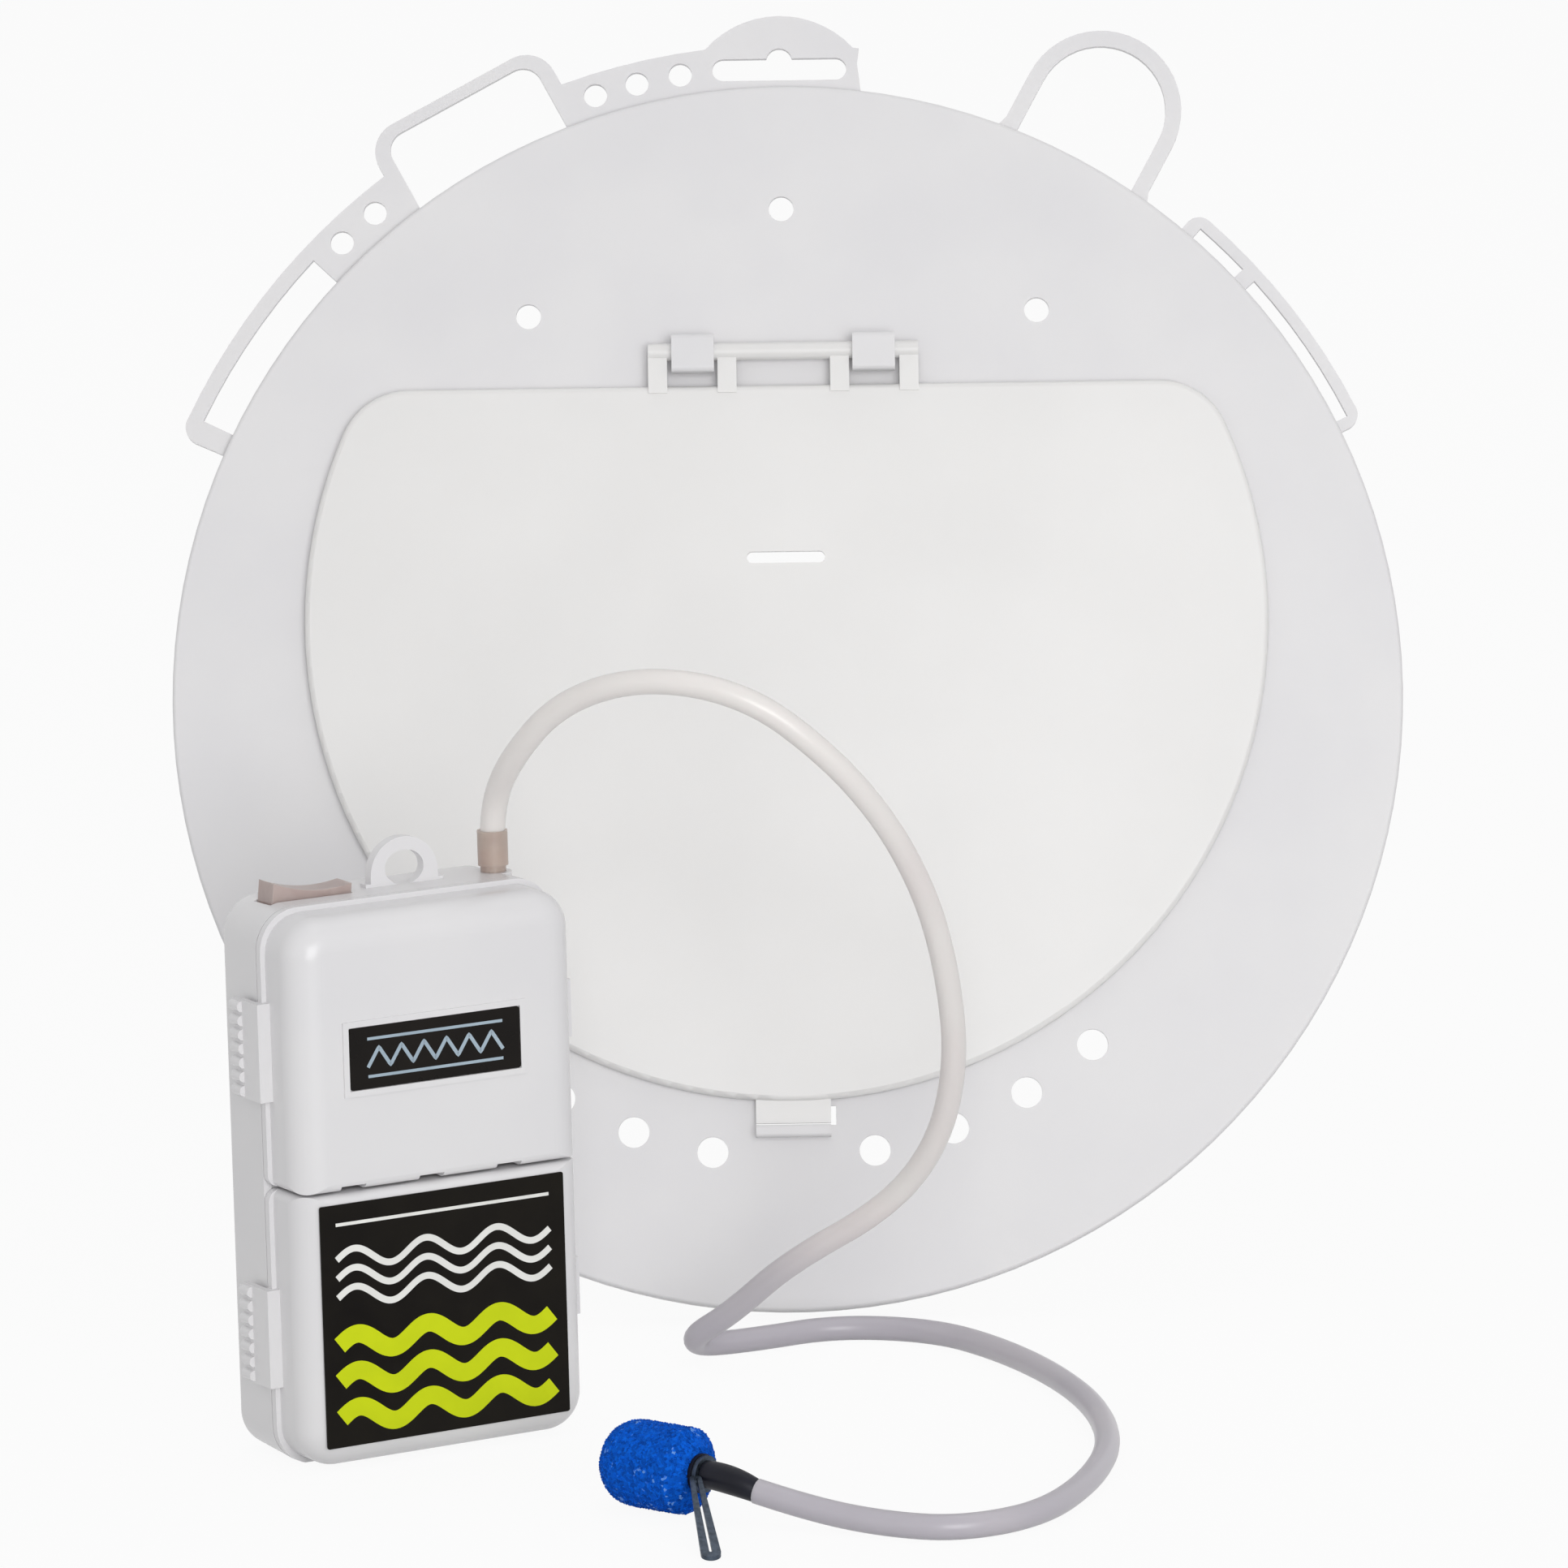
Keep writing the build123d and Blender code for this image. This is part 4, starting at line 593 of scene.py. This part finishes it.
@dataclass
class PrintedLines:
    """A stack of equal lines of ink on a panel, straight, swelling or zigzag."""

    name: str
    ink: Finish
    wave: Wave
    middle: tuple[float, float]  # across and up on the pump, mm
    length: float
    stroke: float
    swing: float = 0.0  # half the height of the wave
    pitch: float = 1.0  # from crest to crest
    rows: int = 1
    row_pitch: float = 0.0
    THICK = 0.1  # half of it is sunk into the film
    POINTS = 193  # along one line

    def recipe(self) -> Recipe:
        """Draws a line along X that follows the wave, gives it its stroke and repeats it up Z.

        Returns:
            The recipe, with an input for each size.
        """
        book = Recipe(f"{self.name}_recipe")
        length, stroke, swing, pitch = (book.size(n) for n in ("Length", "Stroke", "Swing", "Pitch"))
        rows, row_pitch = book.size("Rows", whole=True), book.size("Row pitch")
        half = book.sum("MULTIPLY", length, 0.5)
        start = book.vector({0: book.sum("MULTIPLY", half, -1.0)})
        end = book.vector({0: half})
        line = book.add("CurvePrimitiveLine", {"Start": start, "End": end}).outputs[0]
        fine = book.add("ResampleCurve", {"Curve": line, "Count": self.POINTS}).outputs[0]
        x = add(book.tree, "ShaderNodeSeparateXYZ", {0: book.add("InputPosition").outputs[0]}).outputs[0]
        turns = book.sum("DIVIDE", book.sum("ADD", x, half), pitch)
        if self.wave is Wave.SWELL:
            form = book.sum("SINE", book.sum("MULTIPLY", turns, 2 * pi))
        else:
            tooth = book.sum("PINGPONG", turns, 0.5)
            form = book.sum("MULTIPLY_ADD", tooth, 4.0, -1.0)
        rise = book.vector({2: book.sum("MULTIPLY", form, swing)})
        bent = book.add("SetPosition", {"Geometry": fine, "Offset": rise}).outputs[0]
        level = book.add("SetCurveNormal", {"Curve": bent}, mode="Z_UP").outputs[0]
        sides = {"Width": self.THICK * MM, "Height": stroke}
        nib = book.add("CurvePrimitiveQuadrilateral", sides).outputs[0]
        sweep = {"Curve": level, "Profile Curve": nib, "Fill Caps": True}
        inked = book.add("CurveToMesh", sweep).outputs[0]
        flat = book.add("SetShadeSmooth", {"Geometry": inked, "Shade Smooth": False}).outputs[0]
        step = book.vector({2: row_pitch})
        stack = book.add("MeshLine", {"Count": rows, "Offset": step}).outputs[0]
        book.finish(book.add("InstanceOnPoints", {"Points": stack, "Instance": flat}).outputs[0], self.ink)
        return book

    def print_on(self, pump: Matrix, depth: float) -> Piece:
        """Prints the lines on the pump.

        Args:
            pump: from the pump's own frame to the model's frame.
            depth: depth of the panel's outer face in the pump's frame, mm.

        Returns:
            The printed piece.
        """
        piece = new_piece(self.name, bpy.data.meshes.new(self.name))
        self.recipe().run(piece, **{
            "Length": self.length * MM, "Stroke": self.stroke * MM, "Swing": self.swing * MM,
            "Pitch": self.pitch * MM, "Rows": self.rows, "Row pitch": self.row_pitch * MM,
        })
        low = self.middle[1] - (self.rows - 1) * self.row_pitch / 2
        piece.data.transform(pump @ Matrix.Translation(Vector((self.middle[0], depth, low)) * MM))
        return piece


# ----------------------------------------------------------------------------------- the object
@dataclass
class PailLid:
    """The round lid with its ears and loops, and the trap door in its hooks."""

    finishes: dict[str, Finish] = field(default_factory=lambda: {
        "lid_shell": LID_WHITE,
        "trap_door": DOOR_WHITE,
    })

    def build(self, nodes: dict[str, Piece]) -> None:
        """Dresses the lid and its door."""
        dress(nodes, self.finishes)


@dataclass
class AirPump:
    """The battery pump: shells, switch, outlet, panels, cells, motor and diaphragm."""

    corner: Point = (-126.4, -134.0, 0.0)  # lower left corner of the seam, mm
    turn: float = 30.0
    cover_depth: float = 17.0
    label_at: tuple[float, float] = (38.2, 35.9)
    label_t: float = 0.3
    badge_at: tuple[float, float] = (37.6, 99.2)
    badge_t: float = 0.5
    label_line: float = 57.0  # length of the lines on the label
    badge_line: float = 36.0  # length of the lines on the badge
    swing: float = 2.3  # half the height of the printed waves
    swell_pitch: float = 19.0
    tooth_pitch: float = 6.0
    flange_t: float = 1.2  # clamped flange of the rubber cup
    finishes: dict[str, Finish] = field(default_factory=lambda: {
        "pump_case": CASE_WHITE, "motor_cover": CASE_WHITE, "battery_cover": CASE_WHITE,
        "badge_panel": BADGE_BLACK, "label_panel": LABEL_BLACK,
        "rocker_button": ROSE_VINYL, "hose_coupler": TAN_VINYL, "inner_tube": HOSE_PVC,
        "outlet_barb": WHITE_ACETAL, "pump_arm": WHITE_ACETAL, "eccentric": WHITE_ACETAL,
        "switch_housing": BLACK_NYLON, "pump_head": BLACK_NYLON, "motor_endcap": BLACK_NYLON,
        "diaphragm": GREY_RUBBER, "valve_flap": GREY_RUBBER,
        "motor_cover_pin": DRAWN_STEEL, "battery_cover_pin": DRAWN_STEEL,
        "strap_screws": DRAWN_STEEL, "arm_pivot_pin": DRAWN_STEEL,
        "motor_can": TINNED_STEEL, "motor_rotor": TINNED_STEEL, "motor_strap": TINNED_STEEL,
        "switch_blades": BRASS_STRIP,
        "bridge_plate": NICKEL_STRIP, "contact_positive": NICKEL_STRIP, "contact_negative": NICKEL_STRIP,
        "spring_low": NICKEL_STRIP, "spring_high": NICKEL_STRIP,
        "cell_left": CELL_TIN, "cell_right": CELL_TIN,
        "wire_red": RED_WIRE, "wire_link": RED_WIRE, "wire_black": BLACK_WIRE,
    })

    def frame(self) -> Matrix:
        """From the pump's own frame, X across and Y back from the seam, to the model's."""
        return Matrix.Translation(place(*self.corner)) @ Matrix.Rotation(radians(self.turn), 4, "Z")

    def label_print(self) -> list[PrintedLines]:
        """Sets out bold lime swells low on the label, and finer white ones and a rule above them.

        Returns:
            The stacks of lines.
        """
        x, z = self.label_at
        wide, swing, pitch = self.label_line, self.swing, self.swell_pitch
        return [
            PrintedLines("label_swells_bold", LIME_INK, Wave.SWELL, (x, z - 13.4), wide, stroke=4.4,
                         swing=swing, pitch=pitch, rows=3, row_pitch=8.8),
            PrintedLines("label_swells_fine", WHITE_INK, Wave.SWELL, (x, z + 11.4), wide, stroke=1.6,
                         swing=swing, pitch=pitch, rows=3, row_pitch=4.6),
            PrintedLines("label_rule", WHITE_INK, Wave.SWELL, (x, z + 24.4), wide, stroke=0.8),
        ]

    def badge_print(self) -> list[PrintedLines]:
        """Sets out one fine zigzag between two rules.

        Returns:
            The stacks of lines.
        """
        wide = self.badge_line
        return [
            PrintedLines("badge_zigzag", BLUE_GREY_INK, Wave.ZIGZAG, self.badge_at, wide, stroke=0.9,
                         swing=self.swing, pitch=self.tooth_pitch),
            PrintedLines("badge_rules", BLUE_GREY_INK, Wave.SWELL, self.badge_at, wide, stroke=0.7,
                         rows=2, row_pitch=9.0),
        ]

    def build(self, nodes: dict[str, Piece]) -> None:
        """Dresses the pump's nodes, prints its two panels and puts a copy of the diaphragm in place of its
        node as the rubber cup.

        Args:
            nodes: the frame's nodes by name.
        """
        dress(nodes, self.finishes)
        jobs = [
            (self.label_print(), self.label_t, "battery_cover", "print_black"),
            (self.badge_print(), self.badge_t, "motor_cover", "badge_black"),
        ]
        for lines, film, body, slot in jobs:
            for one in lines:
                piece = one.print_on(self.frame(), -self.cover_depth - film)
                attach(piece, body)
                log.info("printed %s", piece.name)
        self.cup(nodes["diaphragm"])

    def cup(self, plain: Piece) -> None:
        """Makes the rubber cup as a plain copy of the diaphragm node, which it replaces.

        Args:
            plain: the node that it replaces.
        """
        piece = new_piece("diaphragm_cup", plain.data.copy())
        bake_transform(piece)
        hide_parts("diaphragm")
        log.info("made %s", piece.name)


@dataclass
class AirStone:
    """The blue stone at the hose's end: a domed drum of bonded grit with a socket for its stem."""

    tip: Point = STONE_TIP_MM
    azimuth: float = STONE_AZIMUTH
    radius: float = 10.4
    length: float = STONE_LENGTH
    dome: float = STONE_DOME
    chamfer: float = STONE_CHAMFER
    end_r: float = 6.2
    socket_r: float = 2.0
    socket_depth: float = 14.0
    skin: float = 0.3  # room for the grit outside the blank
    end_skin: float = 0.1
    tip_share: float = 0.4  # radius at which the dome starts, to the drum's
    dome_parts: int = 6
    step: float = 0.55  # spacing of the mesh that the grit is pressed into
    lump: float = 0.9  # width of the surface's lumps
    lump_detail: float = 3.0  # how much finer noise is laid over them
    relief: float = 0.5
    level: float = 0.55  # noise value at which the surface stays where it is
    grains: float = 2.2  # to a square millimetre
    grain_r: float = 0.28
    smallest: float = 0.45  # smallest grain, to the largest
    turns: Point = (6.28, 6.28, 6.28)  # how far a grain may be turned about X, Y and Z, radians
    seeds: tuple[int, int, int] = (7, 3, 5)  # for the grains' places, sizes and turns

    def profile(self) -> list[tuple[float, float]]:
        """Draws the half section from the middle of the dome to the end of the socket, in even steps.

        Returns:
            Points as distance from the tip and radius, mm.
        """
        r, start, end = self.radius - self.skin, self.end_skin, self.length - self.end_skin
        neck, bottom = self.length - self.chamfer, self.length - self.socket_depth
        angles = [pi / 2 * k / self.dome_parts for k in range(1, self.dome_parts + 1)]
        share = self.tip_share
        dome = [(self.dome * (1 - cos(a)), r * (share + (1 - share) * sin(a))) for a in angles]
        corners = [(start, 0.0), (start, r * share), *dome, (neck, r), (end, self.end_r),
                   (end, self.socket_r), (bottom, self.socket_r), (bottom, 0.0)]
        line = [corners[0]]
        for (x0, r0), (x1, r1) in zip(corners, corners[1:]):
            parts = max(1, round(((x1 - x0) ** 2 + (r1 - r0) ** 2) ** 0.5 / self.step))
            line += [(x0 + (x1 - x0) * k / parts, r0 + (r1 - r0) * k / parts) for k in range(1, parts + 1)]
        return line

    def blank(self) -> bpy.types.Mesh:
        """Turns the half section about X.

        Returns:
            The closed mesh before its grit, in metres.
        """
        rings = self.profile()
        count = round(2 * pi * self.radius / self.step)
        points: list[Point] = [(rings[0][0], 0.0, 0.0)]
        for x, r in rings[1:-1]:
            points += [(x, r * cos(2 * pi * k / count), r * sin(2 * pi * k / count)) for k in range(count)]
        points.append((rings[-1][0], 0.0, 0.0))
        last = len(points) - 1
        faces: list[tuple[int, ...]] = []
        for k in range(count):
            after = (k + 1) % count
            faces.append((0, 1 + after, 1 + k))
            for ring in range(len(rings) - 3):
                a = 1 + ring * count
                faces.append((a + k, a + after, a + count + after, a + count + k))
            a = 1 + (len(rings) - 3) * count
            faces.append((a + k, a + after, last))
        mesh = bpy.data.meshes.new("air_stone_grit")
        mesh.from_pydata([(x * MM, y * MM, z * MM) for x, y, z in points], [], faces)
        return mesh

    def recipe(self) -> Recipe:
        """Roughens the blank and presses loose grains into it.

        Returns:
            The recipe, with an input for each size.
        """
        book = Recipe("grit_recipe")
        lump, depth = book.size("Lump"), book.size("Depth")
        density, size = book.size("Density"), book.size("Grain")
        at = book.add("InputPosition").outputs[0]
        noise = add(book.tree, "ShaderNodeTexNoise", {
            "Vector": at, "Scale": book.sum("DIVIDE", 1.0, lump), "Detail": self.lump_detail,
        }).outputs["Fac"]
        push = book.sum("MULTIPLY", book.sum("SUBTRACT", noise, self.level), depth)
        out = book.add("InputNormal").outputs[0]
        scaled = {0: out, "Scale": push}
        offset = add(book.tree, "ShaderNodeVectorMath", scaled, operation="SCALE").outputs[0]
        rough = book.add("SetPosition", {"Geometry": book.source.outputs[0], "Offset": offset}).outputs[0]
        at_seed, size_seed, turn_seed = self.seeds
        spots = book.add("DistributePointsOnFaces", {"Mesh": rough, "Density": density, "Seed": at_seed})
        one = book.add("MeshIcoSphere", {"Radius": size, "Subdivisions": 1}).outputs[0]
        sizes = {2: self.smallest, 3: 1.0, "Seed": size_seed}
        vary = add(book.tree, "FunctionNodeRandomValue", sizes).outputs[1]
        turns = {0: (0, 0, 0), 1: self.turns, "Seed": turn_seed}
        spin = add(book.tree, "FunctionNodeRandomValue", turns, data_type="FLOAT_VECTOR").outputs[0]
        grit = book.add("InstanceOnPoints", {
            "Points": spots.outputs[0], "Instance": one, "Rotation": spin, "Scale": vary,
        }).outputs[0]
        both = book.add("JoinGeometry")
        book.tree.links.new(rough, both.inputs[0])
        book.tree.links.new(grit, both.inputs[0])
        book.finish(both.outputs[0], BLUE_GRIT)
        return book

    def build(self, body: str) -> Piece:
        """Makes the stone in place of its CAD node.

        Args:
            body: the body it rides on.

        Returns:
            The stone.
        """
        piece = new_piece("air_stone_grit", self.blank())
        self.recipe().run(piece, Lump=self.lump * MM, Depth=self.relief * MM,
                          Density=self.grains / MM ** 2, Grain=self.grain_r * MM)
        turn = Matrix.Rotation(radians(self.azimuth), 4, "Z")
        piece.data.transform(Matrix.Translation(place(*self.tip)) @ turn)
        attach(piece, body)
        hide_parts("air_stone")
        log.info("made %s", piece.name)
        return piece


@dataclass
class AirLine:
    """The hose from the pump's coupler to the stone, with what is fixed on its end."""

    body: str = "pump_and_lid"
    radius: float = 3.0  # outside of the hose, mm
    bore: float = 1.6
    length: float = 676.3
    lying: float = 3.1  # height of the middle of hose that lies on the floor
    curve_steps: int = 14
    round_steps: int = 7
    finishes: dict[str, Finish] = field(default_factory=lambda: {
        "stem_sleeve": BLACK_RUBBER, "stem_washer": BLACK_RUBBER, "stone_stem": BLACK_NYLON,
        "stone_clip": ZINC_STRIP, "air_stone": BLUE_GRIT, "air_hose": HOSE_PVC,
    })

    def route(self) -> list[Point]:
        """Lists the corners of the hose's route, as the part's source has them.

        Returns:
            Points of the layout, from the pump to the stone, mm.
        """
        lying = self.lying
        return [
            (-71.394, -91.273, 140.0), (-71.394, -91.273, 150.0), (-65.5, -106.0, 164.5),
            (-53.0, -118.5, 179.5), (-33.0, -130.0, 186.5), (-9.5, -136.0, 182.5),
            (9.0, -134.5, 167.5), (22.5, -124.5, 149.5), (32.0, -112.0, 128.0),
            (36.5, -102.0, 106.5), (38.0, -91.0, 84.0), (33.5, -79.0, 62.0),
            (21.0, -67.5, 44.0), (-3.5, -57.0, 28.5), (-17.5, -46.5, 14.0),
            (-27.5, -42.5, 7.2), (-26.0, -35.0, lying), (-12.0, -30.0, lying),
            (8.0, -18.5, lying), (32.0, -25.5, lying), (47.0, -45.5, lying),
            (60.5, -75.0, lying), (69.5, -109.5, lying), (71.5, -146.5, lying),
            (65.0, -181.0, lying), (53.0, -209.5, lying), (34.5, -221.0, lying),
            (18.0, -215.5, lying), (1.0, -205.5, 4.4), (-12.0, -199.2, 7.6),
        ]

    def tube(self, name: str, radius: float, look: Finish) -> Piece:
        """One smooth bevelled curve along the route.

        Args:
            name: the piece's name.
            radius: radius of the bevel, mm.
            look: the finish.

        Returns:
            The tube.
        """
        points = [place(*p) for p in self.route()]
        curve = bpy.data.curves.new(name, "CURVE")
        curve.dimensions = "3D"
        line = curve.splines.new("NURBS")
        line.points.add(len(points) - 1)
        for control, at in zip(line.points, points):
            control.co = (*at, 1.0)
        line.order_u = 3
        line.use_endpoint_u = True
        line.resolution_u = self.curve_steps
        curve.bevel_depth = radius * MM
        curve.bevel_resolution = self.round_steps
        curve.use_fill_caps = True
        curve.materials.append(look.material())
        piece = bpy.data.objects.new(name, curve)
        bpy.context.scene.collection.objects.link(piece)
        return piece

    def build(self, nodes: dict[str, Piece]) -> None:
        """Args:
            nodes: the frame's nodes by name.
        """
        dress(nodes, self.finishes)
        stone = AirStone().build(self.body)
        hose = self.tube("air_hose_tube", self.radius, HOSE_PVC)
        # the bore tube's near-white colour is painted light: a bright core seen through the hose's wall
        bore = self.tube("air_hose_bore_painted_light", self.bore, HOSE_BORE_PAINTED_LIGHT)
        for piece in (hose, bore):
            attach(piece, self.body)
        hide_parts("air_hose")
        log.info("laid the air hose, %.3f m", self.length * MM)


# ---------------------------------------------------------------------------------- the studio
@dataclass
class Lamp:
    """One soft rectangular lamp."""

    name: str
    at: Point
    size: tuple[float, float]
    watts: float

    def build(self, target: Vector) -> None:
        """Hangs the lamp.

        Args:
            target: the point that it faces.
        """
        lamp = bpy.data.lights.new(self.name, "AREA")
        lamp.shape = "RECTANGLE"
        lamp.size, lamp.size_y = self.size
        lamp.energy = self.watts
        holder = bpy.data.objects.new(self.name, lamp)
        holder.location = self.at
        holder.rotation_euler = (target - Vector(self.at)).to_track_quat("-Z", "Y").to_euler()
        bpy.context.scene.collection.objects.link(holder)


@dataclass
class Studio:
    """Pale floor, white surroundings, soft lamps and the camera."""

    camera_at: Point = (-0.00153, -2.302278, 0.5512)
    camera_tip: float = 79.92  # degrees from looking straight down
    camera_roll: float = -1.49
    lens: float = 219.1
    sensor: float = 36.0
    sight: float = 60.0  # how far the camera sees
    aim: Point = (0.0, 0.0, 0.12)  # where the lamps point
    ambient: float = 0.56
    lamps: tuple[Lamp, ...] = (
        Lamp("key_lamp", (0.45, -2.1, 0.55), (1.2, 1.2), 21.0),
        Lamp("fill_lamp", (-1.4, -1.2, 0.5), (1.0, 1.0), 0.8),
        Lamp("top_lamp", (0.2, 0.2, 2.0), (1.4, 1.4), 3.5),
    )
    floor_half: float = 12.0
    floor_grey: str = "dcdcdc"
    floor_white: float = 0.93  # share of plain white in what the camera sees of the floor

    def seen(self, tree: Tree) -> Socket:
        """Picks the rays that show the surroundings to the eye: directly, in gloss or through the hose.

        Args:
            tree: the material's or the world's tree.

        Returns:
            1 for such rays and 0 for the rest.
        """
        rays = add(tree, "ShaderNodeLightPath").outputs
        inputs = {0: rays["Is Camera Ray"], 1: rays["Is Glossy Ray"]}
        either = add(tree, "ShaderNodeMath", inputs, operation="MAXIMUM").outputs[0]
        inputs = {0: either, 1: rays["Is Transmission Ray"]}
        return add(tree, "ShaderNodeMath", inputs, operation="MAXIMUM").outputs[0]

    def floor(self) -> None:
        """A pale floor that keeps a trace of the object's shadow."""
        half = self.floor_half
        mesh = bpy.data.meshes.new("studio_floor")
        corners = [(-half, -half, 0.0), (half, -half, 0.0), (half, half, 0.0), (-half, half, 0.0)]
        mesh.from_pydata(corners, [], [(0, 1, 2, 3)])
        paper = bpy.data.materials.new("studio_paper")
        paper.use_nodes = True
        tree = paper.node_tree
        tree.nodes.clear()
        matt = add(tree, "ShaderNodeBsdfDiffuse", {"Color": linear(self.floor_grey)})
        white = add(tree, "ShaderNodeEmission", {"Color": PLAIN_WHITE, "Strength": 1.0})
        inputs = {0: self.seen(tree), 1: self.floor_white}
        share = add(tree, "ShaderNodeMath", inputs, operation="MULTIPLY").outputs[0]
        mixed = add(tree, "ShaderNodeMixShader", {0: share, 1: matt.outputs[0], 2: white.outputs[0]})
        add(tree, "ShaderNodeOutputMaterial", {"Surface": mixed.outputs[0]})
        mesh.materials.append(paper)
        new_piece("studio_floor", mesh)

    def surroundings(self) -> None:
        """White all round for the eye, and a plain level of light on the object."""
        world = bpy.data.worlds.new("studio_white")
        world.use_nodes = True
        tree = world.node_tree
        tree.nodes.clear()
        levels = {"Value": self.seen(tree), "To Min": self.ambient, "To Max": 1.0}
        level = add(tree, "ShaderNodeMapRange", levels).outputs["Result"]
        inputs = {"Color": PLAIN_WHITE, "Strength": level}
        sky = add(tree, "ShaderNodeBackground", inputs)
        add(tree, "ShaderNodeOutputWorld", {"Surface": sky.outputs[0]})
        bpy.context.scene.world = world

    def camera(self) -> None:
        """The photograph's own view."""
        lens = bpy.data.cameras.new("photo_camera")
        lens.sensor_width = self.sensor
        lens.sensor_height = self.sensor
        lens.lens = self.lens
        lens.clip_end = self.sight
        holder = bpy.data.objects.new("photo_camera", lens)
        tip = Matrix.Rotation(radians(self.camera_tip), 4, "X")
        roll = Matrix.Rotation(radians(self.camera_roll), 4, "Z")
        holder.matrix_world = Matrix.Translation(Vector(self.camera_at)) @ tip @ roll
        bpy.context.scene.collection.objects.link(holder)
        bpy.context.scene.camera = holder

    def build(self) -> None:
        """Sets up the floor, the light and the camera."""
        self.floor()
        self.surroundings()
        for lamp in self.lamps:
            lamp.build(Vector(self.aim))
        self.camera()
        bpy.context.scene.view_settings.view_transform = "Standard"


def main() -> None:
    """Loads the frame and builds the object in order."""
    logging.basicConfig(level=logging.INFO, format="%(name)s: %(message)s")
    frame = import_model()
    nodes = frame["nodes"]
    Studio().build()
    AirLine().build(nodes)
    PailLid().build(nodes)
    AirPump().build(nodes)


if __name__ == "__main__":
    main()
